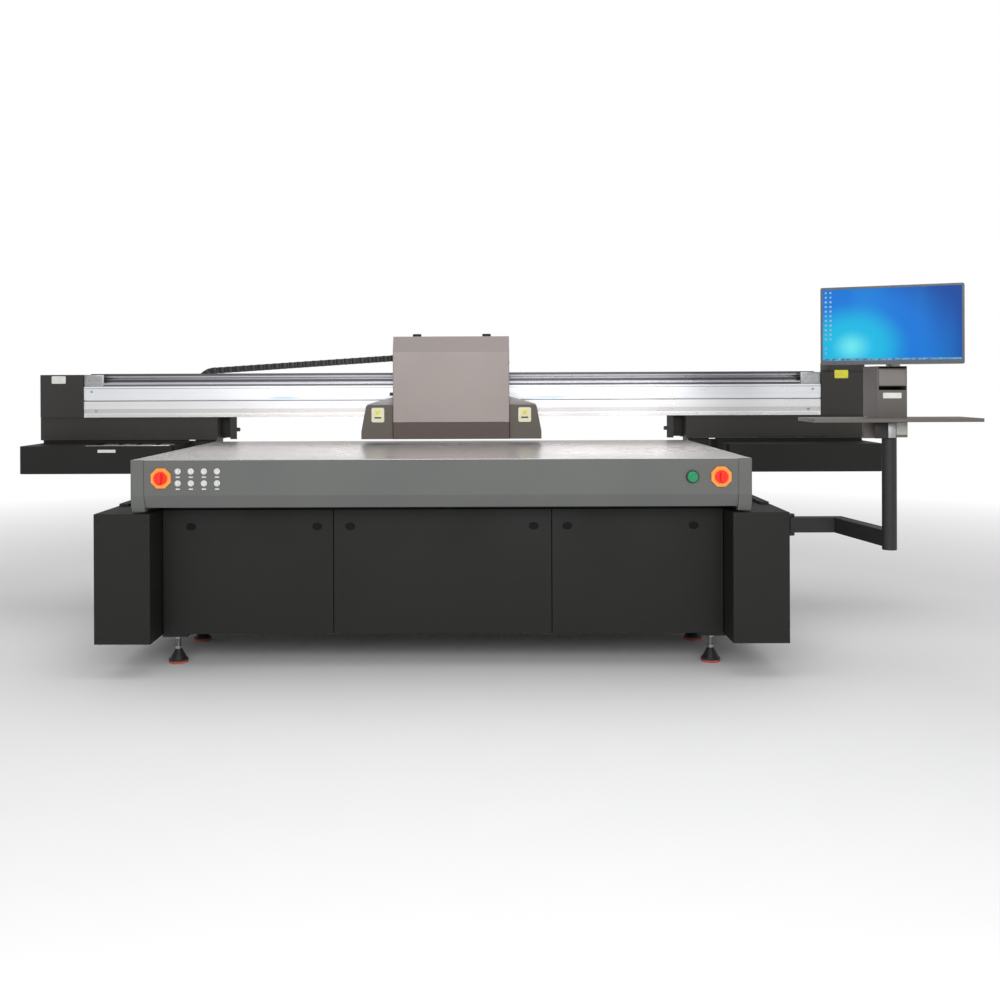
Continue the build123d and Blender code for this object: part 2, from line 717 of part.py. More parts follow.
# ---- Carriage: bearing blocks and back plate ----------------------------------------------------------
plate_deep = 20
carriage_back = beam_face - 28
carriage_front = carriage_back - plate_deep
guide_x = 200
guide_half = 10
guide_deep = 10
block_x = 230
block_wide = 120
upper_block = (beam_top + 4, beam_top + x_rail_tall + 14)
lower_block = (lower_rail_z - 9, lower_rail_z + low_rail_tall + 9)
with BuildPart() as x_bearing_blocks:
    for x in (carriage_x - block_x, carriage_x + block_x):
        along = (x - block_wide / 2, x + block_wide / 2)
        span(along, (upper_rail_y - 22, upper_rail_y + 22), upper_block)
        span(along, (upper_rail_y - x_rail_wide / 2 - fit, upper_rail_y + x_rail_wide / 2 + fit),
             (beam_top, beam_top + x_rail_tall + fit), mode=Mode.SUBTRACT)
        span(along, (carriage_back, beam_face - 3), lower_block)
        span(along, (beam_face - low_rail_deep - fit, beam_face),
             (lower_rail_z - fit, lower_rail_z + low_rail_tall + fit), mode=Mode.SUBTRACT)
save(x_bearing_blocks, "x_bearing_blocks")

bridge_low = track_top + 8
bridge_high = bridge_low + 12
with BuildPart() as carriage_plate:
    span((carriage_x - 290, carriage_x + 290), (carriage_front, carriage_back),
         (beam_bottom - 12, bed_height + 490))
    fillet(carriage_plate.edges().filter_by(Axis.Y), 12)
    for x in (carriage_x - guide_x, carriage_x + guide_x):
        span((x - guide_half, x + guide_half), (carriage_front - guide_deep, carriage_front),
             (beam_bottom, bed_height + 480))
    for x in (carriage_x - block_x, carriage_x + block_x):
        span((x - block_wide / 2, x + block_wide / 2), (carriage_back, upper_rail_y - 22), upper_block)
    span((carriage_x - 120, carriage_x + 120), (carriage_back, track_y + track_deep - 16),
         (slot_low + 3, slot_low + slot_tall - 3))
    span((chain_start, carriage_x + 200), (carriage_back, chain_y + chain_wide / 2),
         (bridge_low, bridge_high))
    span((chain_start, chain_start + 12), (chain_y - chain_wide / 2, chain_y + chain_wide / 2),
         (bridge_high, chain_high + chain_thick / 2))
save(carriage_plate, "carriage_plate")

# ---- Head unit: chassis with print heads, cover, band and lamps ---------------------------------------
cover_back = carriage_front - 4
chassis_back = carriage_front - guide_deep - 6
chassis_front = head_face + 30
chassis_half = head_half - sheet - 6
with BuildPart() as head_chassis:
    span((carriage_x - chassis_half, carriage_x + chassis_half), (chassis_front, chassis_back),
         (head_bottom + 6, head_bottom + 18))
    span((carriage_x - chassis_half, carriage_x + chassis_half), (chassis_back - 12, chassis_back),
         (head_bottom + 18, head_bottom + 330))
    with Locations((carriage_x, (chassis_front + chassis_back - 12) / 2, head_bottom + 75)):
        with GridLocations(head_pitch_x, head_pitch_y, cap_columns, cap_rows):
            Box(70, 36, 144)
    for x in (carriage_x - guide_x, carriage_x + guide_x):
        for z in (head_bottom + 110, head_bottom + 260):
            span((x - 30, x + 30), (chassis_back, carriage_front - 2), (z - 30, z + 30))
            span((x - guide_half - fit, x + guide_half + fit),
                 (carriage_front - guide_deep - fit, carriage_front), (z - 40, z + 40),
                 mode=Mode.SUBTRACT)
save(head_chassis, "head_chassis")

with BuildPart() as head_cover:
    outer = [(head_face, band_top), (head_face, head_top - slope_tall),
             (head_face + slope_run, head_top), (cover_back, head_top), (cover_back, band_top)]
    inner = [(head_face + sheet, band_top), (head_face + sheet, head_top - slope_tall - 1),
             (head_face + slope_run + 2, head_top - sheet), (cover_back, head_top - sheet),
             (cover_back, band_top)]
    with BuildSketch(Plane.YZ.offset(carriage_x - head_half)):
        with BuildLine():
            Polyline(*outer, close=True)
        make_face()
    extrude(amount=2 * head_half)
    fillet(head_cover.edges().filter_by(Axis.X).group_by(Axis.Z)[-1].sort_by(Axis.Y)[0], 8)
    side_edges = head_cover.edges().filter_by(Axis.Z).group_by(Axis.Y)[0]
    fillet(side_edges, 5)
    with BuildSketch(Plane.YZ.offset(carriage_x - head_half + sheet)):
        with BuildLine():
            Polyline(*inner, close=True)
        make_face()
    extrude(amount=2 * (head_half - sheet), mode=Mode.SUBTRACT)
save(head_cover, "head_cover")

with BuildPart() as head_band:
    span((carriage_x - head_half, carriage_x + head_half), (head_face, cover_back),
         (head_bottom, band_top - 1))
    fillet(head_band.edges().filter_by(Axis.Z).group_by(Axis.Y)[0], 5)
    span((carriage_x - head_half + sheet, carriage_x + head_half - sheet),
         (head_face + sheet, cover_back), (head_bottom, band_top - 1), mode=Mode.SUBTRACT)
save(head_band, "head_band")

lamp_front = head_face + 12
lamp_back = head_face + 300
lamp_top = head_bottom + lamp_tall
with BuildPart() as right_lamp:
    low = carriage_x + head_half + 1
    with BuildSketch(Plane.XZ.offset(-lamp_front)):
        with BuildLine():
            Polyline((low, head_bottom), (carriage_x + lamp_half, head_bottom),
                     (carriage_x + lamp_half, head_bottom + 40),
                     (carriage_x + lamp_half - lamp_slope, lamp_top), (low, lamp_top), close=True)
        make_face()
    extrude(amount=-(lamp_back - lamp_front))
    fillet(right_lamp.faces().sort_by(Axis.Z)[-1].edges().sort_by(Axis.X)[-1], 12)
    fillet(right_lamp.faces().sort_by(Axis.Y)[0].edges(), 3)
    span((low + 40, carriage_x + lamp_half - 30), (lamp_front + 20, lamp_back - 20),
         (head_bottom, head_bottom + 100), mode=Mode.SUBTRACT)
with BuildPart() as lamp_housings:
    add(right_lamp)
    mirror(right_lamp.part, about=Plane.YZ.offset(carriage_x))
save(lamp_housings, "lamp_housings")

# ---- Console: hinged arm with its post, shelf, box and monitor -------------------------------------------
arm_pin = 10
ear_thick = 12
with BuildPart() as arm_bracket:
    span((casing_outer, casing_outer + 8), (arm_y - 60, arm_y + 60),
         (arm_bottom - 30, arm_top + 30))
    for z in (arm_bottom - gap - ear_thick, arm_top + gap):
        span((casing_outer + 8, arm_x), (arm_y - 26, arm_y + 26), (z, z + ear_thick))
        with Locations((arm_x, arm_y, z + ear_thick / 2)):
            Cylinder(26, ear_thick)
    with Locations((arm_x, arm_y, (arm_bottom + arm_top) / 2)):
        Cylinder(arm_pin, arm_tall + 2 * gap + 2 * ear_thick)
save(arm_bracket, "arm_bracket")

post_bottom = arm_bottom - 14
post_top = bed_height + 89
spigot_radius = 20
elbow_x = post_x - 72
with BuildPart() as console_arm:
    with BuildSketch(Plane.XY.offset(arm_bottom)):
        with BuildLine():
            Polyline((arm_x, arm_y), (elbow_x, arm_y), (post_x, post_y))
        trace(line_width=arm_wide)
        with Locations((arm_x, arm_y)):
            Circle(arm_pin + pin_fit, mode=Mode.SUBTRACT)
    extrude(amount=arm_tall)
    with BuildSketch(Plane.XY.offset(post_bottom)):
        with Locations((post_x, post_y)):
            Circle(post_radius)
    extrude(amount=post_top - post_bottom)
    with BuildSketch(Plane.XY.offset(post_top)):
        with Locations((post_x, post_y)):
            Circle(spigot_radius)
    extrude(amount=shelf_top - shelf_thick - post_top - 2)
save(console_arm, "console_arm")

shelf_y = bed_front + shelf_setback
shelf_under = shelf_top - shelf_thick
with BuildPart() as console_shelf:
    span((shelf_x - shelf_width / 2, shelf_x + shelf_width / 2), (shelf_y, shelf_y + shelf_deep),
         (shelf_under, shelf_top))
    fillet(console_shelf.edges().filter_by(Axis.Z), 8)
    fillet(console_shelf.faces().sort_by(Axis.Z)[-1].edges(), 1.2)
    span((shelf_x - shelf_width / 2 + sheet, shelf_x + shelf_width / 2 - sheet),
         (shelf_y + sheet, shelf_y + shelf_deep - sheet), (shelf_under, shelf_top - sheet),
         mode=Mode.SUBTRACT)
    span((post_x - 50, post_x + 60), (post_y - 45, post_y + 45), (post_top + 1, shelf_top - sheet))
    span((post_x - 110, post_x - 50), (post_y - 8, post_y + 8), (post_top - 4, shelf_top - sheet))
    with Locations((post_x, post_y, post_top)):
        Cylinder(spigot_radius + pin_fit, 2 * (shelf_under - post_top), mode=Mode.SUBTRACT)
save(console_shelf, "console_shelf")

box_x = (post_x - 65, post_x - 65 + box_width)
box_y = (bed_front - 89, bed_front - 89 + box_deep)
box_top = shelf_top + box_tall
with BuildPart() as console_box:
    span(box_x, box_y, (shelf_top, box_top))
    fillet(console_box.edges().filter_by(Axis.Z), 3)
    span((box_x[0] + sheet, box_x[1] - sheet), (box_y[0] + sheet, box_y[1] - sheet),
         (shelf_top, box_top - sheet), mode=Mode.SUBTRACT)
    span((box_x[0] + 8, box_x[1] - 4), (box_y[0] - 1, box_y[0] + 4), (box_top - 100, box_top - 83),
         mode=Mode.SUBTRACT)
    span((box_x[0] + 8, box_x[1] - 4), (box_y[0] - 1, box_y[0] + sheet + 1),
         (box_top - 10, box_top + 1), mode=Mode.SUBTRACT)
save(console_box, "console_box")

turn = radians(monitor_turn)
screen_point = Vector(monitor_x, bed_front + monitor_setback, bed_height + monitor_lift)
facing = Vector(-sin(turn), -cos(turn), 0)
screen_plane = Plane(origin=screen_point, x_dir=(cos(turn), -sin(turn), 0), z_dir=facing)
shell_deep = 22
hinge_behind = 56
column_behind = 110
tilt_pin = 6
column_point = screen_point - facing * column_behind

with BuildPart() as monitor_shell:
    with BuildSketch(screen_plane.offset(-shell_deep)):
        RectangleRounded(monitor_width, monitor_tall, 8)
    extrude(amount=shell_deep)
    with BuildSketch(screen_plane.offset(-shell_deep)):
        RectangleRounded(monitor_width * 0.6, monitor_tall * 0.6, 20)
    extrude(amount=-14, taper=20)
    with BuildSketch(screen_plane.offset(-2)):
        with Locations((0, 4)):
            Rectangle(monitor_width - 2 * bezel, monitor_tall - 2 * bezel - 8)
    extrude(amount=3, mode=Mode.SUBTRACT)
    with BuildSketch(screen_plane.offset(-shell_deep - 14)):
        with Locations((-24, 0), (24, 0)):
            Rectangle(8, 40)
    extrude(amount=-(hinge_behind - shell_deep - 14) - 12)
    with BuildSketch(Plane(origin=screen_point - facing * hinge_behind,
                           x_dir=(0, 0, 1), z_dir=screen_plane.x_dir)):
        Circle(tilt_pin + pin_fit)
    extrude(amount=40, both=True, mode=Mode.SUBTRACT)
save(monitor_shell, "monitor_shell")

with BuildPart() as monitor_screen:
    with BuildSketch(screen_plane.offset(-2)):
        with Locations((0, 4)):
            Rectangle(monitor_width - 2 * bezel - 0.6, monitor_tall - 2 * bezel - 8.6)
    extrude(amount=1.5)
save(monitor_screen, "monitor_screen")

with BuildPart() as monitor_bracket:
    with BuildSketch(Plane.XY.offset(box_top)):
        with Locations((column_point.X, column_point.Y)):
            Circle(28)
    extrude(amount=8)
    with BuildSketch(Plane.XY.offset(box_top + 8)):
        with Locations((column_point.X, column_point.Y)):
            Circle(16)
    extrude(amount=screen_point.Z + 20 - box_top - 8)
    with BuildSketch(screen_plane.offset(-hinge_behind + 10)):
        Rectangle(36, 30)
    extrude(amount=-(column_behind - hinge_behind - 4))
    with BuildSketch(Plane(origin=screen_point - facing * hinge_behind,
                           x_dir=(0, 0, 1), z_dir=screen_plane.x_dir)):
        Circle(tilt_pin)
    extrude(amount=34, both=True)
save(monitor_bracket, "monitor_bracket")

print("parts written:", len(os.listdir("parts")))
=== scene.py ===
# %% [markdown]
# # Flatbed UV printer
# This lesson dresses a wide flatbed printer: a steel base with a vacuum table, a gantry that
# slides over it, a print head unit under a painted cover, and a console on a swing arm.
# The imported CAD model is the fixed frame. It gives every main shape, so Blender's work is the
# finish of each surface and the small things that CAD leaves out: chain links, screws, labels,
# seals, threads and fan guards.

# %% Load the frame
import json
import math
import random

import bmesh
import bpy
from mathutils import Matrix, Vector


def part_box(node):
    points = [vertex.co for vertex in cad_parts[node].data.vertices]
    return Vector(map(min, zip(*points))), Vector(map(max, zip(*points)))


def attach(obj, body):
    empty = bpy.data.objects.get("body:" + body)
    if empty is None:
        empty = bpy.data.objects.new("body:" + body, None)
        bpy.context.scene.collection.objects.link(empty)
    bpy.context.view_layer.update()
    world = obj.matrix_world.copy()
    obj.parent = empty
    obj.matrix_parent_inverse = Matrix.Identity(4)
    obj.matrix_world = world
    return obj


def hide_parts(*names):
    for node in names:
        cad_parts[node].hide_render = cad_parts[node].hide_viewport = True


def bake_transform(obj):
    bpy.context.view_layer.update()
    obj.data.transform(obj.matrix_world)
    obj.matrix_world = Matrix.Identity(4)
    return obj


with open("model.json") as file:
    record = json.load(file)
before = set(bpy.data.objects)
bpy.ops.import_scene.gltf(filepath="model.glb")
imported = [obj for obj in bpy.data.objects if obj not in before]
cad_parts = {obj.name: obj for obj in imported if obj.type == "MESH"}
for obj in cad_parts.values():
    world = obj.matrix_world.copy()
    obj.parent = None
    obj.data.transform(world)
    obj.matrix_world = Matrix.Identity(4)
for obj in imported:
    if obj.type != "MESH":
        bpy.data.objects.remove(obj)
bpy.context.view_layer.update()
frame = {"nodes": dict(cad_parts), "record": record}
nodes = frame["nodes"]

# %% [markdown]
# ## Places to measure from
# Most places come from the CAD boxes, so those details follow if the model is ever resized. A
# few, such as labels and the dark blocks of painted shade in the housing slots, stand at fixed
# distances from the machine's middle.
# The table's top and front edge are the two places that almost everything is measured from.

# %% Reference places
MM = 0.001
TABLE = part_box("vacuum_table")
TABLE_TOP = TABLE[1].z
TABLE_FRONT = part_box("table_skirts")[0].y + 3 * MM
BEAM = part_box("gantry_beam")
print("table top", round(TABLE_TOP, 3), "front", round(TABLE_FRONT, 3))

# %% [markdown]
# ## Hands for modelling
# Operators act on whatever is selected, and the import leaves every CAD node selected. So each
# helper starts from nothing selected. A helper adds a primitive at its size and place, and then
# edit-mode operators shape it, as a person would by hand.


# %% Modelling helpers
def clear_hands():
    """Object mode with nothing selected."""
    if bpy.context.object and bpy.context.object.mode != "OBJECT":
        bpy.ops.object.mode_set(mode="OBJECT")
    bpy.ops.object.select_all(action="DESELECT")


def hold(piece):
    """Only this piece selected and active."""
    clear_hands()
    piece.select_set(True)
    bpy.context.view_layer.objects.active = piece


def settle(piece):
    """Put the piece's place into its mesh, so that its object sits at the origin."""
    hold(piece)
    bpy.ops.object.transform_apply(location=True, rotation=True, scale=True)
    return piece


def pick(piece, test):
    """Enter edit mode with only the faces selected whose middle and normal pass the test."""
    hold(piece)
    bpy.ops.object.mode_set(mode="EDIT")
    bpy.ops.mesh.select_mode(type="FACE")
    bpy.ops.mesh.select_all(action="DESELECT")
    mesh = bmesh.from_edit_mesh(piece.data)
    for face in mesh.faces:
        face.select = test(face.calc_center_median(), face.normal)
    mesh.select_flush_mode()
    bmesh.update_edit_mesh(piece.data)


def choose(piece, kind, test):
    """Enter edit mode with only the vertices or edges selected that pass the test."""
    hold(piece)
    bpy.ops.object.mode_set(mode="EDIT")
    bpy.ops.mesh.select_mode(type=kind)
    bpy.ops.mesh.select_all(action="DESELECT")
    mesh = bmesh.from_edit_mesh(piece.data)
    for part in mesh.verts if kind == "VERT" else mesh.edges:
        part.select = test(part)
    bmesh.update_edit_mesh(piece.data)


def done(piece):
    bpy.ops.object.mode_set(mode="OBJECT")
    return piece


def dish(piece, test, rim, lip, deep):
    """Keep a flat rim round the faces that pass the test, and push in what is inside it."""
    pick(piece, test)
    bpy.ops.mesh.inset(thickness=rim, depth=0)
    bpy.ops.mesh.inset(thickness=lip, depth=-deep)
    return done(piece)


def block(name, low, high, bevel=0.0, steps=2):
    """A block between two corners, with its edges broken by a bevel."""
    low, high = Vector(low), Vector(high)
    clear_hands()
    bpy.ops.mesh.primitive_cube_add(size=1, location=(low + high) / 2)
    piece = bpy.context.object
    piece.name = name
    piece.scale = high - low
    settle(piece)
    if bevel:
        bpy.ops.object.mode_set(mode="EDIT")
        bpy.ops.mesh.select_all(action="SELECT")
        bpy.ops.mesh.bevel(offset=bevel, segments=steps, affect="EDGES")
        done(piece)
    return piece


FACING = {"x": (0, math.pi / 2, 0), "-x": (0, -math.pi / 2, 0), "y": (-math.pi / 2, 0, 0),
          "-y": (math.pi / 2, 0, 0), "z": (0, 0, 0), "-z": (math.pi, 0, 0)}


def disc(name, middle, radius, thick, facing="z", sides=32, bevel=0.0):
    """A round piece whose cap looks along an axis. The middle is that of its far, back cap."""
    clear_hands()
    bpy.ops.mesh.primitive_cylinder_add(vertices=sides, radius=radius, depth=thick,
                                        location=(0, 0, thick / 2))
    piece = bpy.context.object
    piece.name = name
    settle(piece)
    if bevel:
        pick(piece, lambda at, normal: normal.z > 0.9)
        bpy.ops.mesh.bevel(offset=bevel, segments=2, affect="EDGES")
        done(piece)
    piece.rotation_euler = FACING[facing]
    piece.location = middle
    return settle(piece)


def join(name, pieces):
    """One piece from several that share a finish."""
    clear_hands()
    for piece in pieces:
        piece.select_set(True)
    bpy.context.view_layer.objects.active = pieces[0]
    if len(pieces) > 1:
        bpy.ops.object.join()
    pieces[0].name = name
    return pieces[0]


def spread(name, master, places):
    """Copies of a master that was modelled at the origin, each with its own mesh, as one piece.
    A place is a point or a whole matrix."""
    copies = []
    for place in places:
        matrix = place if isinstance(place, Matrix) else Matrix.Translation(place)
        copy = bpy.data.objects.new(name, master.data.copy())
        bpy.context.collection.objects.link(copy)
        copy.data.transform(matrix)
        copies.append(copy)
    bpy.data.objects.remove(master)
    return join(name, copies)


def soften(piece):
    """Smooth shading that keeps the edges that turn by more than 35 degrees hard."""
    hold(piece)
    bpy.ops.object.shade_smooth_by_angle(angle=math.radians(35))
    return piece


def fit(piece, body, material):
    """Finish a new piece: its shading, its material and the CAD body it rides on."""
    soften(piece)
    piece.data.materials.clear()
    piece.data.materials.append(material)
    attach(piece, body)
    return piece


# %% [markdown]
# ## Hands for materials
# A material is a small network of nodes. One helper adds a node and wires it up. Patterns are
# measured in millimetres on the real thing and turned into a texture scale here. Object
# coordinates are used all over: every piece sits at the origin, so they are metres in the
# machine, and a pattern keeps its size from piece to piece.


# %% Material helpers
def linear(code):
    """sRGB hex to linear colour."""
    values = [int(code[i:i + 2], 16) / 255 for i in (0, 2, 4)]
    return tuple(v / 12.92 if v <= 0.04045 else ((v + 0.055) / 1.055) ** 2.4
                 for v in values) + (1.0,)


def per_metre(size_mm):
    """Texture scale for a pattern whose features are this many millimetres across."""
    return 1000 / size_mm


def add(tree, kind, sockets=None, **settings):
    """Add one node. Settings are its properties. Sockets are its inputs, by name or number: a
    value, a link, or a colour as sRGB hex. Map Range takes its value at 0, what it maps from at
    1 and 2, and what it maps to at 3 and 4. Mix takes its factor at 0 and colours at 6 and 7."""
    node = tree.nodes.new(kind)
    for key, value in settings.items():
        setattr(node, key, value)
    for key, value in (sockets or {}).items():
        if isinstance(value, bpy.types.NodeSocket):
            tree.links.new(value, node.inputs[key])
        else:
            node.inputs[key].default_value = linear(value) if isinstance(value, str) else value
    return node


def new_material(name):
    material = bpy.data.materials.new(name)
    material.use_nodes = True
    tree = material.node_tree
    tree.nodes.clear()
    where = add(tree, "ShaderNodeTexCoord").outputs["Object"]
    return material, tree, where


def close(tree, shader):
    add(tree, "ShaderNodeOutputMaterial", {"Surface": shader.outputs[0]})

# %% [markdown]
# ## Painted sheet steel
# Most of the machine is folded sheet steel with polyester powder coat. The powder melts into a
# skin with a fine orange-peel, so the gloss breaks up instead of mirroring. A flat colour with
# one roughness looks like paper: real powder coat shows a tiny grain and a slow drift in gloss
# where hands and cloths rub it. What looks up is painted paler: settled dust, and a painted
# sheen for the light that falls on it from above.


# %% Powder coat
def powder_coat(name, colour, worn, peel_mm=1.6, gloss=0.5, dust_and_sheen="8C8A84",
                sheen_and_dust_amount=0.10, sparkle=0.0, metallic=0.0):
    material, tree, where = new_material(name)
    peel = add(tree, "ShaderNodeTexNoise", {"Vector": where, "Scale": per_metre(peel_mm),
                                            "Detail": 2.0, "Roughness": 0.6})
    drift = add(tree, "ShaderNodeTexNoise", {"Vector": where, "Scale": per_metre(400),
                                             "Detail": 2.0, "Roughness": 0.5})
    tone_share = add(
        tree, "ShaderNodeMapRange", {0: drift.outputs["Fac"], 1: 0.2, 2: 0.8, 3: 0, 4: 1}
    ).outputs[0]
    tone = add(
        tree, "ShaderNodeMix", {0: tone_share, 6: colour, 7: worn}, data_type="RGBA"
    ).outputs[2]
    flecked_share = add(
        tree, "ShaderNodeMapRange", {0: peel.outputs["Fac"], 1: 0.45, 2: 0.75, 3: 0, 4: 0.18}
    ).outputs[0]
    flecked = add(
        tree, "ShaderNodeMix", {0: flecked_share, 6: tone, 7: dust_and_sheen}, data_type="RGBA"
    ).outputs[2]
    # Painted sheen and dust: faces that look up are mixed towards the pale colour, for light
    # falling from above as well as settled dust.
    normal = add(tree, "ShaderNodeNewGeometry").outputs["Normal"]
    up = add(tree, "ShaderNodeSeparateXYZ", {"Vector": normal}).outputs["Z"]
    facing_up = add(
        tree, "ShaderNodeMapRange", {0: up, 1: 0.6, 2: 1.0, 3: 0, 4: sheen_and_dust_amount}
    ).outputs[0]
    patchy = add(
        tree, "ShaderNodeMapRange", {0: drift.outputs["Fac"], 1: 0.3, 2: 0.7, 3: 0.5, 4: 1}
    ).outputs[0]
    sheen_and_dust_share = add(
        tree, "ShaderNodeMath", {0: facing_up, 1: patchy}, operation="MULTIPLY"
    )
    sheened_and_dusted = add(
        tree, "ShaderNodeMix", {0: sheen_and_dust_share.outputs[0], 6: flecked, 7: dust_and_sheen}, data_type="RGBA"
    ).outputs[2]
    rough = add(
        tree,
        "ShaderNodeMapRange",
        {0: drift.outputs["Fac"], 1: 0.3, 2: 0.7, 3: gloss - 0.07, 4: gloss + 0.08},
    ).outputs[0]
    bump = add(tree, "ShaderNodeBump", {"Height": peel.outputs["Fac"], "Strength": 0.6,
                                        "Distance": 0.25 * MM})
    settings = {"Base Color": sheened_and_dusted, "Roughness": rough, "Metallic": metallic,
                "Specular IOR Level": 0.3, "Normal": bump.outputs[0]}
    if sparkle:
        settings["Coat Weight"] = sparkle
        settings["Coat Roughness"] = 0.35
    close(tree, add(tree, "ShaderNodeBsdfPrincipled", settings))
    return material


charcoal_powder_coat = powder_coat("charcoal_powder_coat", "141613", "1A1B18", gloss=0.55,
                                   dust_and_sheen="3A3A37")
frame_black_powder_coat = powder_coat("frame_black_powder_coat", "1E1F1F", "262727", gloss=0.42)
panel_grey_powder_coat = powder_coat("panel_grey_powder_coat", "5F6160", "676967", gloss=0.46)
gantry_powder_coat = powder_coat("gantry_powder_coat", "2B2826", "33302D", gloss=0.45)
# The head cover's powder holds aluminium flakes: it shows a soft metallic sheen, not a grain.
cover_metallic_coat = powder_coat("cover_metallic_coat", "978E8B", "9D9491", peel_mm=1.2,
                                  gloss=0.42, sheen_and_dust_amount=0.0, sparkle=0.15, metallic=0.3)
head_band_coat = powder_coat("head_band_coat", "524744", "5B4F4C", gloss=0.45)
lamp_coat = powder_coat("lamp_coat", "5A534D", "645C56", gloss=0.45)
shelf_powder_coat = powder_coat("shelf_powder_coat", "5E5955", "68635F", gloss=0.42)
console_panel_coat = powder_coat("console_panel_coat", "7A7572", "837E7A", gloss=0.42)
cabinet_powder_coat = powder_coat("cabinet_powder_coat", "A4A6A1", "AFB1AC", gloss=0.5)
print("powder coats made")

# %% [markdown]
# ## Bare and plated metal
# Ground rails, zinc-plated studs and machined castings are all metal, so their colour comes
# from what they reflect. What tells them apart is the direction and size of their scratches.
# A noise squeezed hard along one axis gives the drawn-out lines of grinding or brushing.


# %% Metals
def worked_metal(name, colour, shade, grain=(1.0, 1.0, 1.0), grain_mm=1.5, rough=0.3,
                 deep=0.00008, blotch_mm=60):
    """Grain is how far the scratches are squeezed along each axis: small means drawn out."""
    material, tree, where = new_material(name)
    drawn = add(tree, "ShaderNodeMapping", {"Vector": where, "Scale": grain})
    lines = add(tree, "ShaderNodeTexNoise", {"Vector": drawn.outputs[0],
                                             "Scale": per_metre(grain_mm), "Detail": 3.0})
    patches = add(tree, "ShaderNodeTexNoise", {"Vector": where, "Scale": per_metre(blotch_mm),
                                               "Detail": 4.0, "Roughness": 0.6})
    tone_share = add(
        tree, "ShaderNodeMapRange", {0: patches.outputs["Fac"], 1: 0.35, 2: 0.65, 3: 0, 4: 1}
    ).outputs[0]
    tone = add(
        tree, "ShaderNodeMix", {0: tone_share, 6: colour, 7: shade}, data_type="RGBA"
    ).outputs[2]
    lined_share = add(
        tree, "ShaderNodeMapRange", {0: lines.outputs["Fac"], 1: 0.4, 2: 0.7, 3: 0, 4: 0.35}
    ).outputs[0]
    lined = add(
        tree, "ShaderNodeMix", {0: lined_share, 6: tone, 7: shade}, data_type="RGBA"
    ).outputs[2]
    bump = add(tree, "ShaderNodeBump", {"Height": lines.outputs["Fac"], "Strength": 0.5,
                                        "Distance": deep})
    roughness = add(
        tree,
        "ShaderNodeMapRange",
        {0: lines.outputs["Fac"], 1: 0.3, 2: 0.7, 3: rough - 0.06, 4: rough + 0.08},
    ).outputs[0]
    close(tree, add(tree, "ShaderNodeBsdfPrincipled", {
        "Base Color": lined, "Metallic": 1.0, "Normal": bump.outputs[0], "Roughness": roughness}))
    return material


ground_rail_steel = worked_metal("ground_rail_steel", "C4C6C8", "A9ABAD", (0.03, 0.03, 1),
                                 rough=0.22)
zinc_plated_steel = worked_metal("zinc_plated_steel", "B5B6B4", "9C9E9C", grain_mm=6,
                                 rough=0.34, blotch_mm=14)
machined_aluminium = worked_metal("machined_aluminium", "B9BBBC", "A3A5A6", (0.1, 1, 1),
                                  rough=0.36)
brushed_stainless = worked_metal("brushed_stainless", "C9C7C4", "B4B2AF", (0.05, 1, 1),
                                 rough=0.28)
magnet_cover_steel = worked_metal("magnet_cover_steel", "4A4A50", "3A3A3F", (0.1, 0.1, 1),
                                  rough=0.3)
cast_pump_aluminium = worked_metal("cast_pump_aluminium", "A9ABAC", "8F9192", grain_mm=3,
                                   rough=0.5, deep=0.0003, blotch_mm=25)
print("metals made")


# %% [markdown]
# ## Moulded plastic and rubber
# Knobs, locks, chain links and the monitor's case are injection moulded. Plastic has one colour
# through and through, and a fine spark-eroded texture from its mould. Its gloss is the default,
# but the sunken door locks are matt, so they get less.


# %% Plastics and rubber
def moulded_plastic(name, colour, shade, rough=0.35, grain_mm=0.8, deep=0.00004, shine=0.5):
    material, tree, where = new_material(name)
    grain = add(tree, "ShaderNodeTexNoise", {"Vector": where, "Scale": per_metre(grain_mm),
                                             "Detail": 2.0})
    handled = add(tree, "ShaderNodeTexNoise", {"Vector": where, "Scale": per_metre(18),
                                               "Detail": 2.0})
    tone_share = add(
        tree, "ShaderNodeMapRange", {0: handled.outputs["Fac"], 1: 0.35, 2: 0.65, 3: 0, 4: 1}
    ).outputs[0]
    tone = add(
        tree, "ShaderNodeMix", {0: tone_share, 6: colour, 7: shade}, data_type="RGBA"
    ).outputs[2]
    bump = add(tree, "ShaderNodeBump", {"Height": grain.outputs["Fac"], "Strength": 0.4,
                                        "Distance": deep})
    roughness = add(
        tree,
        "ShaderNodeMapRange",
        {0: handled.outputs["Fac"], 1: 0.3, 2: 0.7, 3: rough - 0.05, 4: rough + 0.08},
    ).outputs[0]
    close(tree, add(tree, "ShaderNodeBsdfPrincipled", {
        "Base Color": tone, "IOR": 1.53, "Specular IOR Level": shine, "Normal": bump.outputs[0],
        "Roughness": roughness}))
    return material


chain_nylon = moulded_plastic("chain_nylon", "202123", "2A2B2D", rough=0.42)
lock_nylon = moulded_plastic("lock_nylon", "040404", "080808", rough=0.5, shine=0.15)
monitor_abs = moulded_plastic("monitor_abs", "3B3F45", "44484E", rough=0.32)
switch_red_plastic = moulded_plastic("switch_red_plastic", "FF2406", "F01C04", rough=0.28)
switch_yellow_plastic = moulded_plastic("switch_yellow_plastic", "FFA03C", "F79730", rough=0.32)
button_green_lens = moulded_plastic("button_green_lens", "12935C", "0E8452", rough=0.2)
valve_white_acetal = moulded_plastic("valve_white_acetal", "E9E7E2", "DDDBD6", rough=0.3)
foot_pad_nylon = moulded_plastic("foot_pad_nylon", "1D1E20", "252628", rough=0.45)
sole_rubber = moulded_plastic("sole_rubber", "C4635A", "B0544C", rough=0.7, grain_mm=2,
                              deep=0.0002)
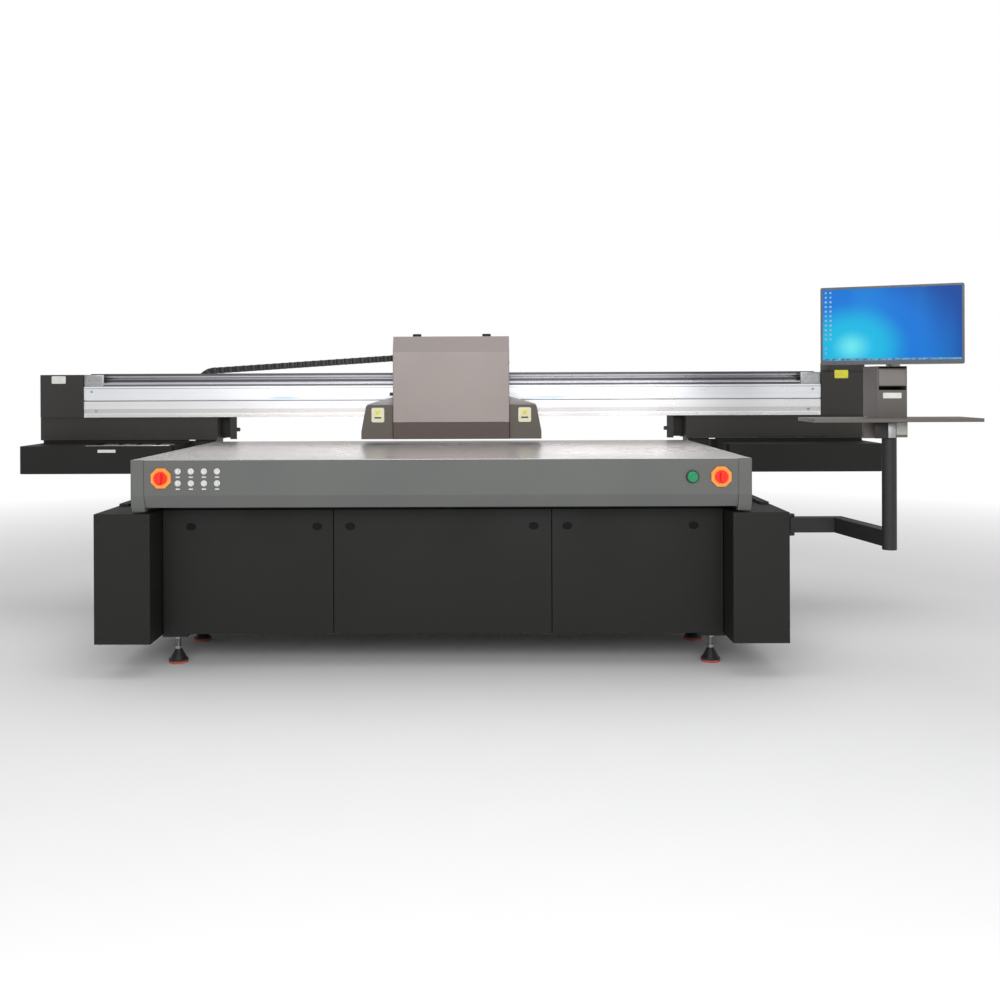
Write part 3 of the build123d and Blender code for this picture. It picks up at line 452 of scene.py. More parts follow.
black_rubber = moulded_plastic("black_rubber", "141414", "1C1C1C", rough=0.65)
label_film = moulded_plastic("label_film", "E6E6E1", "DBDBD6", rough=0.4)
cream_label_film = moulded_plastic("cream_label_film", "E9E6C4", "E0DDBC", rough=0.4)
yellow_label_film = moulded_plastic("yellow_label_film", "E6E137", "DAD530", rough=0.4)
print("plastics made")

# %% [markdown]
# ## The vacuum table
# The table is a clear-anodised aluminium plate, bored with rows of fine holes that hold the
# board down. From the front it is seen at a glancing angle, so it mirrors the head unit softly.
# The holes are about 1.5 mm across on a 25 mm grid; here they are drawn 3 mm across so that they
# still show. Boring thousands of holes in the mesh would cost far more than it shows, so a
# wrapped coordinate repeats one round hole over the plate.

# %% Table material
def table_plate():
    material, tree, where = new_material("anodised_table_aluminium")
    drawn = add(tree, "ShaderNodeMapping", {"Vector": where, "Scale": (0.04, 1, 1)})
    lines = add(tree, "ShaderNodeTexNoise", {"Vector": drawn.outputs[0],
                                             "Scale": per_metre(40), "Detail": 1.0})
    patches = add(tree, "ShaderNodeTexNoise", {"Vector": where, "Scale": per_metre(420),
                                               "Detail": 4.0})
    hole_pitch, hole_radius = 25 * MM, 1.0 * MM
    cell = add(tree, "ShaderNodeVectorMath", {0: where, 1: (hole_pitch,) * 3},
               operation="MODULO")
    flat = add(tree, "ShaderNodeVectorMath", {0: cell.outputs[0], 1: (1, 1, 0)},
               operation="MULTIPLY")
    folded = add(tree, "ShaderNodeVectorMath", {0: flat.outputs[0]}, operation="ABSOLUTE")
    away = add(tree, "ShaderNodeVectorMath",
               {0: folded.outputs[0], 1: (hole_pitch / 2, hole_pitch / 2, 0)},
               operation="DISTANCE")
    hole = add(tree, "ShaderNodeMath", {0: away.outputs["Value"], 1: hole_radius},
               operation="LESS_THAN")
    tone_share = add(
        tree, "ShaderNodeMapRange", {0: patches.outputs["Fac"], 1: 0.35, 2: 0.65, 3: 0, 4: 1}
    ).outputs[0]
    tone = add(
        tree, "ShaderNodeMix", {0: tone_share, 6: "E0DBD8", 7: "D6D0CD"}, data_type="RGBA"
    ).outputs[2]
    lined_share = add(
        tree, "ShaderNodeMapRange", {0: lines.outputs["Fac"], 1: 0.4, 2: 0.7, 3: 0, 4: 0.15}
    ).outputs[0]
    lined = add(
        tree, "ShaderNodeMix", {0: lined_share, 6: tone, 7: "BDB7B4"}, data_type="RGBA"
    ).outputs[2]
    bored = add(
        tree, "ShaderNodeMix", {0: hole.outputs[0], 6: lined, 7: "1A1A1A"}, data_type="RGBA"
    ).outputs[2]
    bump = add(tree, "ShaderNodeBump", {"Height": lines.outputs["Fac"], "Strength": 0.1,
                                        "Distance": 0.00006})
    roughness = add(
        tree, "ShaderNodeMapRange", {0: patches.outputs["Fac"], 1: 0.3, 2: 0.7, 3: 0.26, 4: 0.31}
    ).outputs[0]
    close(tree, add(tree, "ShaderNodeBsdfPrincipled", {
        "Base Color": bored, "Metallic": 0.75, "Normal": bump.outputs[0], "Roughness": roughness}))
    return material


anodised_table_aluminium = table_plate()

# %% [markdown]
# ## The beam and its rails
# The gantry beam is one long aluminium extrusion. Its front is milled in bands: a bright land
# above the slot, a duller one below it, and a pale edge at the bottom. The rail on its top and
# the magnet track behind the rail are banded too: dark covers between bright holders. Bands lie
# at fixed heights on each piece, so height picks the tone, with a ramp that steps.


# %% Banded aluminium
def banded_aluminium(name, box, stops, streak="B9BDC4", rough=0.24, film=()):
    """Stops are (share of the piece's height, colour). Film is where scraps of blue film cling."""
    material, tree, where = new_material(name)
    height = add(tree, "ShaderNodeSeparateXYZ", {"Vector": where}).outputs["Z"]
    across = add(
        tree, "ShaderNodeMapRange", {0: height, 1: box[0].z, 2: box[1].z, 3: 0, 4: 1}
    ).outputs[0]
    bands = add(tree, "ShaderNodeValToRGB", {"Fac": across})
    ramp = bands.color_ramp
    ramp.interpolation = "CONSTANT"
    while len(ramp.elements) < len(stops):
        ramp.elements.new(1.0)
    for element, (place, colour) in zip(ramp.elements, stops):
        element.position = place
        element.color = linear(colour)
    drawn = add(tree, "ShaderNodeMapping", {"Vector": where, "Scale": (0.01, 1, 1)})
    lines = add(tree, "ShaderNodeTexNoise", {"Vector": drawn.outputs[0],
                                             "Scale": per_metre(24), "Detail": 1.0})
    clouds = add(tree, "ShaderNodeTexNoise", {"Vector": where, "Scale": per_metre(500),
                                              "Detail": 2.0})
    tone_share = add(
        tree, "ShaderNodeMapRange", {0: lines.outputs["Fac"], 1: 0.1, 2: 0.9, 3: 0, 4: 0.35}
    ).outputs[0]
    tone = add(
        tree,
        "ShaderNodeMix",
        {0: tone_share, 6: bands.outputs["Color"], 7: streak},
        data_type="RGBA",
    ).outputs[2]
    for x, z, half in film:
        moved = add(tree, "ShaderNodeVectorMath", {0: where, 1: (x, 0, z)},
                    operation="SUBTRACT")
        squeezed = add(tree, "ShaderNodeVectorMath",
                       {0: moved.outputs[0], 1: (1 / half, 0, 1 / (9 * MM))},
                       operation="MULTIPLY")
        away = add(tree, "ShaderNodeVectorMath", {0: squeezed.outputs[0]}, operation="LENGTH")
        tone_share = add(
            tree, "ShaderNodeMapRange", {0: away.outputs["Value"], 1: 0.3, 2: 1.0, 3: 0.55, 4: 0}
        ).outputs[0]
        tone = add(
            tree, "ShaderNodeMix", {0: tone_share, 6: tone, 7: "4FB4D6"}, data_type="RGBA"
        ).outputs[2]
    bump = add(tree, "ShaderNodeBump", {"Height": lines.outputs["Fac"], "Strength": 0.05,
                                        "Distance": 0.00008})
    roughness = add(
        tree,
        "ShaderNodeMapRange",
        {0: clouds.outputs["Fac"], 1: 0.3, 2: 0.7, 3: rough, 4: rough + 0.12},
    ).outputs[0]
    close(tree, add(tree, "ShaderNodeBsdfPrincipled", {
        "Base Color": tone, "Metallic": 0.75, "Normal": bump.outputs[0], "Roughness": roughness}))
    return material


extruded_beam_aluminium = banded_aluminium(
    "extruded_beam_aluminium", BEAM,
    [(0.0, "F4F2F0"), (0.13, "D2CECC"), (0.27, "F0EFEF"), (0.515, "6A6B70"), (0.545, "F4F6FA"),
     (0.926, "707278"), (0.943, "FAFAFA")],
    film=((-0.95, 1.183, 0.13), (0.55, 1.183, 0.16)))
banded_magnet_track = banded_aluminium(
    "banded_magnet_track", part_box("x_magnet_track"),
    [(0.0, "C6C7CB"), (0.33, "3A3A42"), (0.53, "B4B2B6"), (0.81, "3C3C44")], streak="8A8A92")
ground_x_rail_steel = banded_aluminium(
    "ground_x_rail_steel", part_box("x_rails"),
    [(0.0, "E6E5E4"), (0.5, "4A4A50"), (0.965, "D0D0D2")], rough=0.2)
print("beam finishes made")

# %% [markdown]
# ## The lit screen
# The monitor shows a plain desktop: a blue field that glows cyan from its middle, and a column
# of small square icons. The glow is worked out from the distance to the screen's middle. The
# screen stands turned, so a Mapping node brings its own middle and turn back to the origin.

# %% Screen material
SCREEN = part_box("monitor_screen")
SCREEN_MIDDLE = (SCREEN[0] + SCREEN[1]) / 2
SCREEN_TURN = math.radians(25)


def lit_screen():
    material, tree, where = new_material("lit_lcd_screen")
    moved = add(tree, "ShaderNodeVectorMath", {0: where, 1: SCREEN_MIDDLE}, operation="SUBTRACT")
    upright = add(tree, "ShaderNodeMapping", {"Vector": moved.outputs[0],
                                              "Rotation": (0, 0, SCREEN_TURN)})
    glow_at = add(tree, "ShaderNodeMapping", {"Vector": upright.outputs[0],
                                              "Location": (0.15, 0, 0.11),
                                              "Scale": (1.0, 0.0, 1.2)})
    away = add(tree, "ShaderNodeVectorMath", {0: glow_at.outputs[0]}, operation="LENGTH")
    glow_share = add(
        tree, "ShaderNodeMapRange", {0: away.outputs["Value"], 1: 0, 2: 0.48, 3: 0, 4: 1}
    ).outputs[0]
    glow = add(tree, "ShaderNodeValToRGB", {"Fac": glow_share})
    ramp = glow.color_ramp
    ramp.interpolation = "EASE"
    stops = [(0.0, "6CEBF4"), (0.2, "08BCE6"), (0.5, "0278DC"), (1.0, "0048A0")]
    while len(ramp.elements) < len(stops):
        ramp.elements.new(1.0)
    for element, (place, colour) in zip(ramp.elements, stops):
        element.position = place
        element.color = linear(colour)
    beam_at = add(tree, "ShaderNodeMapping", {"Vector": upright.outputs[0],
                                              "Rotation": (0, math.radians(-28), 0),
                                              "Scale": (9.0, 0.0, 0.9)})
    rays = add(tree, "ShaderNodeTexNoise", {"Vector": beam_at.outputs[0], "Scale": 1.0,
                                            "Detail": 0.0})
    rayed_share = add(
        tree, "ShaderNodeMapRange", {0: rays.outputs["Fac"], 1: 0.45, 2: 0.75, 3: 0, 4: 0.2}
    ).outputs[0]
    rayed = add(
        tree,
        "ShaderNodeMix",
        {0: rayed_share, 6: glow.outputs["Color"], 7: "1CB4F0"},
        data_type="RGBA",
    ).outputs[2]
    close(tree, add(tree, "ShaderNodeBsdfPrincipled", {
        "Base Color": linear("0A0C10"), "Roughness": 0.3, "Specular IOR Level": 0.1,
        "Emission Color": rayed, "Emission Strength": 0.95}))
    return material


lit_lcd_screen = lit_screen()

# %% [markdown]
# ## Dressing the CAD nodes
# The record names a material slot for each CAD node. One table turns slots into finishes.

# %% Assign materials to the CAD nodes
FINISH = {
    "frame_black": frame_black_powder_coat, "sole_rubber": sole_rubber,
    "pad_black": foot_pad_nylon, "zinc_steel": zinc_plated_steel,
    "charcoal_paint": charcoal_powder_coat, "rail_steel": ground_rail_steel,
    "magnet_steel": magnet_cover_steel, "table_aluminium": anodised_table_aluminium,
    "panel_grey": panel_grey_powder_coat, "switch_yellow": switch_yellow_plastic,
    "cast_aluminium": machined_aluminium, "cabinet_grey": cabinet_powder_coat,
    "beam_aluminium": extruded_beam_aluminium, "gantry_paint": gantry_powder_coat,
    "stainless": brushed_stainless, "chain_plastic": chain_nylon,
    "cover_taupe": cover_metallic_coat, "band_dark": head_band_coat, "lamp_grey": lamp_coat,
    "shelf_grey": shelf_powder_coat, "monitor_plastic": monitor_abs,
    "screen_glow": lit_lcd_screen, "switch_red": switch_red_plastic,
    "button_green": button_green_lens, "lock_black": lock_nylon,
    "knob_white": valve_white_acetal,
}
SLOT_OF = {part["node"]: part["material_slot"] for part in frame["record"]["subparts"]}
SPECIAL = {"x_rails": ground_x_rail_steel, "vacuum_blower": cast_pump_aluminium,
           "x_magnet_track": banded_magnet_track, "station_boxes": charcoal_powder_coat,
           "sensor_brackets": gantry_powder_coat}
for name, node in nodes.items():
    finish = SPECIAL.get(name, FINISH[SLOT_OF[name]])
    if not node.material_slots:
        node.data.materials.append(None)
    for slot in node.material_slots:
        slot.material = finish
print("finishes on", len(nodes), "nodes")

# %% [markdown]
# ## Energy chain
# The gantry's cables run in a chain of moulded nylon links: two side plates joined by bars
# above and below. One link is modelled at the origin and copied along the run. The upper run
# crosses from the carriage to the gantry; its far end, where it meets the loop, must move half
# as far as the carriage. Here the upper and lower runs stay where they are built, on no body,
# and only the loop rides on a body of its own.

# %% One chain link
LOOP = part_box("chain_loop")
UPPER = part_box("chain_upper_run")
CHAIN_TALL, LINK_PITCH = 36 * MM, 46 * MM
CHAIN_WIDE = LOOP[1].y - LOOP[0].y
CHAIN_Y = (LOOP[0].y + LOOP[1].y) / 2
LOOP_MIDDLE = Vector((LOOP[1].x, CHAIN_Y, (LOOP[0].z + LOOP[1].z) / 2))
LOOP_RADIUS = (LOOP[1].z - LOOP[0].z - CHAIN_TALL) / 2


def chain_link():
    """A link along X, its middle at the origin."""
    half, plate = CHAIN_WIDE / 2, 6 * MM
    parts = []
    for side in (-1, 1):
        for reach, low, high in ((-1, half - plate / 2, half),
                                 (1, half - plate, half - plate / 2)):
            ends = sorted((side * low, side * high))
            x_ends = sorted((reach * LINK_PITCH * 0.62, -reach * 4 * MM))
            plate_piece = block("link_plate", (x_ends[0], ends[0], -CHAIN_TALL / 2 + 1 * MM),
                                (x_ends[1], ends[1], CHAIN_TALL / 2 - 1 * MM))
            pick(plate_piece, lambda at, normal: abs(normal.x) > 0.9)
            bpy.ops.mesh.bevel(offset=7 * MM, segments=2, affect="EDGES")
            parts.append(done(plate_piece))
    for level in (-1, 1):
        z_ends = sorted((level * (CHAIN_TALL / 2 - 4 * MM), level * CHAIN_TALL / 2))
        parts.append(block("link_bar", (-8 * MM, -half + 1 * MM, z_ends[0]),
                           (8 * MM, half - 1 * MM, z_ends[1]), bevel=1 * MM, steps=1))
    return join("chain_link", parts)


def along(start, end, count):
    """Places and turns for links between two points in the XZ plane."""
    start, end = Vector(start), Vector(end)
    turn = math.atan2(-(end - start).z, (end - start).x)
    return [Matrix.Translation(start.lerp(end, (i + 0.5) / count)) @ Matrix.Rotation(turn, 4, "Y")
            for i in range(count)]


# %% Upper run, loop and lower run
upper_start = Vector((UPPER[1].x, CHAIN_Y, UPPER[1].z - CHAIN_TALL / 2))
upper_end = Vector((LOOP[1].x, CHAIN_Y, LOOP[1].z - CHAIN_TALL / 2))
upper_count = round((upper_start - upper_end).length / LINK_PITCH)
upper_run = spread("chain_upper_links", chain_link(), along(upper_start, upper_end, upper_count))

loop_count = round(math.pi * LOOP_RADIUS / LINK_PITCH)
loop_places = []
for i in range(loop_count):
    angle = math.pi / 2 + math.pi * (i + 0.5) / loop_count
    spot = LOOP_MIDDLE + Vector((math.cos(angle), 0, math.sin(angle))) * LOOP_RADIUS
    loop_places.append(Matrix.Translation(spot) @ Matrix.Rotation(-angle - math.pi / 2, 4, "Y"))
loop_run = spread("chain_loop_links", chain_link(), loop_places)

lower_start = Vector((LOOP[1].x, CHAIN_Y, LOOP[0].z + CHAIN_TALL / 2))
lower_end = Vector((0, CHAIN_Y, lower_start.z))
lower_count = round((lower_end - lower_start).length / LINK_PITCH)
lower_run = spread("chain_lower_links", chain_link(), along(lower_start, lower_end, lower_count))

# The upper and lower runs are taken off their bodies again, so they stay where they are built.
upper_run = fit(upper_run, "carriage", chain_nylon)
upper_run.parent = None
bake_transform(upper_run)
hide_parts("chain_upper_run")
fit(loop_run, "chain_loop", chain_nylon)
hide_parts("chain_loop")
lower_run = fit(lower_run, "gantry", chain_nylon)
lower_run.parent = None
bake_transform(lower_run)
print("chain links:", upper_count, loop_count, lower_count)

# %% [markdown]
# ## Screws
# Covers are held by button-head socket screws. One is modelled at the origin, looking up: a
# low cylinder, its cap inset and pushed in for the hexagon socket. Copies are turned to face
# out of each cover.


# %% Screw and its copies
def screw_head(radius=5 * MM, tall=3 * MM):
    screw = disc("screw_head", (0, 0, 0), radius, tall, sides=18, bevel=0.8 * MM)
    pick(screw, lambda at, normal: normal.z > 0.95 and at.z > tall * 0.9)
    bpy.ops.mesh.inset(thickness=radius * 0.35, depth=0)
    bpy.ops.mesh.inset(thickness=radius * 0.02, depth=-tall * 0.6)
    return done(screw)


TURN = {axis: Matrix.Rotation(angles[0], 4, "X") @ Matrix.Rotation(angles[1], 4, "Y")
        for axis, angles in FACING.items()}


def screws(name, body, places, facing, radius=5 * MM, material=None):
    turned = [Matrix.Translation(place) @ TURN[facing] for place in places]
    piece = spread(name, screw_head(radius, radius * 0.55), turned)
    return fit(piece, body, material or zinc_plated_steel)


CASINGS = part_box("side_casings")
beam_face = BEAM[0].y
end_screws = [(side * x, beam_face, z) for side in (-1, 1)
              for x, z in ((BEAM[1].x - 0.045, BEAM[1].z - 0.028),
                           (BEAM[1].x - 0.07, BEAM[0].z + 0.035))]
screws("beam_end_screws", "gantry", end_screws, "-y", 7 * MM)
casing_screws = [(side * (CASINGS[1].x - inset), CASINGS[0].y, z) for side in (-1, 1)
                 for inset in (0.02, 0.222) for z in (CASINGS[0].z + 0.03, CASINGS[1].z - 0.03)]
screws("casing_front_screws", "base", casing_screws, "-y", 4 * MM, charcoal_powder_coat)
casing_side_screws = [(side * CASINGS[1].x, CASINGS[0].y + 0.04 + i * 0.455, z)
                      for side in (-1, 1) for i in range(5)
                      for z in (CASINGS[0].z + 0.03, CASINGS[1].z - 0.03)]
left_side = [p for p in casing_side_screws if p[0] < 0]
right_side = [p for p in casing_side_screws if p[0] > 0]
screws("casing_left_screws", "base", left_side, "-x", 5 * MM, zinc_plated_steel)
screws("casing_right_screws", "base", right_side, "x", 5 * MM, zinc_plated_steel)
print("screws placed")

# %% [markdown]
# ## Rings, threads and caps
# Round trim is either turned or moulded. A collar is a disc whose cap is inset and pushed in,
# so it reads as a ring round the knob that stands in it. The threads of the levelling studs are
# thin rings one pitch apart: on an M20 stud the pitch is 2.5 mm, and from here a ring looks the
# same as a helix.


# %% Collars and threads
def collar(name, middle, outer, inner, thick, sides=32):
    """A dished ring, its cap looking at the front."""
    piece = disc(name, (0, 0, 0), outer, thick, sides=sides, bevel=min(thick, outer - inner) * 0.3)
    dish(piece, lambda at, normal: normal.z > 0.95 and at.z > thick * 0.9,
         (outer - inner) * 0.7, 0.2 * MM, thick * 0.8)
    piece.data.transform(Matrix.Translation(middle) @ TURN["-y"])
    return piece


def thread_ring(radius, pitch):
    clear_hands()
    bpy.ops.mesh.primitive_torus_add(major_radius=radius, minor_radius=pitch * 0.4,
                                     major_segments=20, minor_segments=6)
    ring = bpy.context.object
    ring.scale = (1, 1, 0.8)
    return settle(ring)


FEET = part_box("foot_soles")
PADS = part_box("foot_pads")
foot_radius = 43 * MM
foot_x = FEET[1].x - foot_radius
foot_rows = (FEET[0].y + foot_radius, (FEET[0].y + FEET[1].y) / 2, FEET[1].y - foot_radius)
stud_radius, thread_pitch = 10 * MM, 5 * MM
thread_places = [(side * foot_x, y, PADS[1].z + 4 * MM + i * thread_pitch)
                 for side in (-1, 1) for y in foot_rows for i in range(11)]
threads = spread("foot_stud_threads", thread_ring(stud_radius, thread_pitch), thread_places)
fit(threads, "base", zinc_plated_steel)

panel_face = TABLE_FRONT
knobs = [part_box(f"valve_knob_{i}") for i in range(1, 9)]
knob_places = [((low.x + high.x) / 2, panel_face, (low.z + high.z) / 2) for low, high in knobs]
collars = [collar("valve_collar", place, 13 * MM, 9 * MM, 3 * MM, sides=24)
           for place in knob_places]
fit(join("valve_collars", collars), "base", valve_white_acetal)
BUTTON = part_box("start_button")
button_place = ((BUTTON[0].x + BUTTON[1].x) / 2, panel_face, (BUTTON[0].z + BUTTON[1].z) / 2)
# A dark ring of painted shade round the start button, where shadow falls on the panel.
fit(collar("start_button_shade_ring", button_place, 28 * MM, 23.6 * MM, 5 * MM), "base",
    foot_pad_nylon)
print("collars", len(collars) + 1, "thread rings", len(thread_places))

# %% [markdown]
# ## Labels
# The machine wears small rating plates and labels. They are plain here: printed film with a
# rounded edge and no lettering. A label is a block 0.5 mm thick that lies on its cover.


# %% Labels
def label(name, body, low, high, material):
    """A film label between two corners, its corners rounded in the plane that it lies in."""
    piece = block(name, low, high)
    thin = min(range(3), key=lambda axis: high[axis] - low[axis])

    def runs_through(edge):
        reach = edge.verts[1].co - edge.verts[0].co
        return abs(reach[thin]) > reach.length * 0.9

    choose(piece, "EDGE", runs_through)
    short = sorted(high[axis] - low[axis] for axis in range(3))[1]
    bpy.ops.mesh.bevel(offset=short * 0.12, segments=2, affect="EDGES")
    done(piece)
    return fit(piece, body, material)


def front_label(name, body, face_y, x_span, z_span, material=label_film,
                thick=0.6 * MM):
    return label(name, body, (x_span[0], face_y - thick, z_span[0]),
                 (x_span[1], face_y, z_span[1]), material)


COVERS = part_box("gantry_end_covers")
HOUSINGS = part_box("beam_housings")
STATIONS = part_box("station_boxes")
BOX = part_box("console_box")
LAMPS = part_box("lamp_housings")
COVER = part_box("head_cover")

front_label("end_cover_label", "gantry", COVERS[0].y, (-2.270, -2.190),
            (COVERS[1].z - 0.050, COVERS[1].z - 0.007))
front_label("end_cover_yellow_label", "gantry", COVERS[0].y, (2.166, 2.243),
            (COVERS[1].z - 0.036, COVERS[1].z + 0.010), yellow_label_film)
front_label("station_label", "gantry", STATIONS[0].y, (-1.904, -1.807),
            (STATIONS[1].z - 0.035, STATIONS[1].z - 0.019))
front_label("console_label", "console_desk", BOX[0].y, (BOX[0].x + 0.025, BOX[0].x + 0.102),
            (BOX[1].z - 0.134, BOX[1].z - 0.111))
for i, (x, face_y, z) in enumerate(knob_places):
    front_label(f"valve_label_{i + 1}", "base", face_y, (x - 9 * MM, x + 9 * MM),
                (z - 27 * MM, z - 22 * MM), thick=0.4 * MM)

lamp_middle = (LAMPS[0].x + LAMPS[1].x) / 2
for side, name in ((-1, "left"), (1, "right")):
    outer = lamp_middle + side * (LAMPS[1].x - lamp_middle)
    x_span = sorted((outer - side * 0.055, outer - side * 0.122))
    front_label(f"{name}_lamp_label", "head_unit", LAMPS[0].y, x_span,
                (LAMPS[1].z - 0.090, LAMPS[1].z - 0.013), cream_label_film)
    middle = sum(x_span) / 2
    front_label(f"{name}_lamp_label_bar", "head_unit", LAMPS[0].y - 0.6 * MM,
                (middle - 0.018, middle + 0.018),
                (LAMPS[1].z - 0.070, LAMPS[1].z - 0.062), foot_pad_nylon,
                0.2 * MM)
    front_label(f"{name}_lamp_label_dot", "head_unit", LAMPS[0].y - 0.6 * MM,
                (middle - 0.010, middle + 0.010),
                (LAMPS[1].z - 0.050, LAMPS[1].z - 0.030), yellow_label_film,
                0.2 * MM)
print("labels on")

# %% [markdown]
# ## Head unit trim
# Two rubber buffers stand on the head cover, a latch tongue looks out of its left side, and each
# lamp housing wears a frosted light shield that slopes up to the cover. The shield is a block
# whose outer top edge is pulled down.


# %% Head unit trim
def pull(piece, test, by):
    """Move the vertices whose place passes the test."""
    choose(piece, "VERT", lambda vertex: test(vertex.co))
    bpy.ops.transform.translate(value=by)
    return done(piece)


def frosted_acrylic():
    """Cast acrylic sheet, sanded: it passes light but blurs it, so it looks pale grey."""
    material, tree, where = new_material("frosted_acrylic")
    frost = add(tree, "ShaderNodeTexNoise", {"Vector": where, "Scale": per_metre(2)})
    tone = add(
        tree,
        "ShaderNodeMix",
        {0: frost.outputs["Fac"], 6: "D2CFCD", 7: "C2BFBD"},
        data_type="RGBA",
    ).outputs[2]
    roughness = add(
        tree, "ShaderNodeMapRange", {0: frost.outputs["Fac"], 1: 0.3, 2: 0.7, 3: 0.4, 4: 0.55}
    ).outputs[0]
    close(
        tree,
        add(
            tree,
            "ShaderNodeBsdfPrincipled",
            {"Base Color": tone, "IOR": 1.49, "Transmission Weight": 0.45, "Roughness": roughness},
        ),
    )
    return material


frosted_acrylic_sheet = frosted_acrylic()
shield_tall = 44 * MM
for side, name, cover_side in ((-1, "left", COVER[0].x), (1, "right", COVER[1].x)):
    outer = lamp_middle + side * (LAMPS[1].x - lamp_middle - 0.026)
    x_span = sorted((cover_side + side * 1 * MM, outer))
    shield = block(f"{name}_light_shield", (x_span[0], LAMPS[0].y + 0.03, LAMPS[1].z),
                   (x_span[1], LAMPS[1].y - 0.04, LAMPS[1].z + shield_tall))
    pull(shield, lambda at: at.z > LAMPS[1].z + 1 * MM and abs(at.x - outer) < 1 * MM,
         (0, 0, 3 * MM - shield_tall))
    pick(shield, lambda at, normal: True)
    bpy.ops.mesh.bevel(offset=1.5 * MM, segments=2, affect="EDGES")
    fit(done(shield), "head_unit", frosted_acrylic_sheet)

buffers = [disc("head_buffer", (x, COVER[0].y + 0.085, COVER[1].z), 0.023, 0.014, sides=28,
                bevel=3 * MM) for x in (-0.171, 0.200)]
fit(join("head_buffers", buffers), "head_unit", black_rubber)
latch = block("head_latch", (COVER[0].x - 0.024, COVER[0].y + 0.08, 1.196),
              (COVER[0].x, COVER[0].y + 0.12, 1.214), bevel=2 * MM)
fit(latch, "head_unit", foot_pad_nylon)
cover_rows = (COVER[0].z + 0.02, COVER[1].z - 0.115)
screws("head_cover_screws", "head_unit",
       [(x, COVER[0].y, z) for x in (COVER[0].x + 0.014, COVER[1].x - 0.014)
        for z in cover_rows], "-y", 3 * MM, cover_metallic_coat)
for name, facing, x in (("left", "-x", COVER[0].x), ("right", "x", COVER[1].x)):
    screws(f"head_cover_{name}_screws", "head_unit",
           [(x, y, z) for y in (COVER[0].y + 0.06, COVER[1].y - 0.04)
            for z in (COVER[1].z - 0.14, COVER[1].z - 0.30)], facing, 5 * MM)
print("head trim on")

# %% [markdown]
# ## Gantry trim
# The beam ends in machined stop blocks that close the rail. The right end cover carries a
# cable box, and a row of small dark blocks paints the shade in the open slots along the right
# housing. The capping tray shows a bright stainless lip.

# %% Gantry trim
end_blocks = []
for side in (-1, 1):
    x_span = sorted((side * BEAM[1].x, side * (BEAM[1].x - 0.112)))
    stop = block("beam_end_block", (x_span[0], BEAM[0].y + 1 * MM, BEAM[1].z + 1 * MM),
                 (x_span[1], BEAM[0].y + 15 * MM, BEAM[1].z + 0.068), bevel=2 * MM)
    end_blocks.append(dish(stop, lambda at, normal: normal.y < -0.95, 9 * MM, 1 * MM, 3 * MM))
fit(join("beam_end_blocks", end_blocks), "gantry", machined_aluminium)
screws("beam_end_block_screws", "gantry",
       [(side * (BEAM[1].x - dx), BEAM[0].y + 4 * MM, BEAM[1].z + 0.035)
        for side in (-1, 1) for dx in (0.03, 0.082)], "-y", 7 * MM)

cable_box = block("cable_box", (BEAM[1].x + 50 * MM, COVERS[0].y, COVERS[1].z),
                  (COVERS[1].x, COVERS[0].y + 0.18, COVERS[1].z + 0.052), bevel=4 * MM)
dish(cable_box, lambda at, normal: normal.z > 0.95, 6 * MM, 1 * MM, 1.5 * MM)
fit(cable_box, "gantry", gantry_powder_coat)

# Painted shade: dark blocks stand where the slots along the right housing are open and dark
# inside.
slot_shade_spans = [(1.735 + i * 0.037, 0.024) for i in range(6)] + [(1.990, 0.030), (2.032, 0.026),
                                                               (2.075, 0.045)]
slot_shades = [block("slot_shade", (x, HOUSINGS[0].y - 1.5 * MM, HOUSINGS[0].z + 3 * MM),
               (x + long, HOUSINGS[0].y + 1 * MM, HOUSINGS[0].z + 11 * MM), bevel=1 * MM)
         for x, long in slot_shade_spans]
fit(join("housing_slot_shades", slot_shades), "gantry", black_rubber)
housing_lip = block("housing_seam_lip", (1.36, HOUSINGS[0].y - 1 * MM, HOUSINGS[0].z),
                    (2.30, HOUSINGS[0].y + 2 * MM, HOUSINGS[0].z + 1.6 * MM), bevel=0.4 * MM)
fit(housing_lip, "gantry", shelf_powder_coat)

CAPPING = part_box("capping_station")
lip = block("capping_lip", (CAPPING[0].x, STATIONS[0].y + 3 * MM, STATIONS[1].z),
            (CAPPING[1].x, CAPPING[0].y - 3 * MM, STATIONS[1].z + 4 * MM), bevel=1 * MM)
fit(lip, "gantry", brushed_stainless)


def corner_block(corner, inward, low, high):
    """A quarter-round block that stands inside a rounded sheet-metal corner."""
    reach = 24.6 * MM
    x_span = sorted((corner[0], corner[0] + inward * reach))
    piece = block("station_corner", (x_span[0], corner[1], low),
                  (x_span[1], corner[1] + reach, high))

    def at_corner(edge):
        return all((v.co.xy - Vector(corner)).length < 0.1 * MM for v in edge.verts)

    choose(piece, "EDGE", at_corner)
    bpy.ops.mesh.bevel(offset=reach - 0.1 * MM, segments=8, affect="EDGES")
    return done(piece)


# The stations' sheet metal is open at its rounded front corners, so a block backs each one.
station_inner, skin = CASINGS[1].x + 7 * MM, 0.3 * MM
corner_blocks = [corner_block((side * (x + inward * skin), STATIONS[0].y + skin), side * inward,
                              STATIONS[0].z + 1 * MM, STATIONS[1].z - 2 * MM)
                 for side in (-1, 1) for x, inward in ((station_inner, 1), (STATIONS[1].x, -1))]
fit(join("station_corner_blocks", corner_blocks), "gantry",
    charcoal_powder_coat)

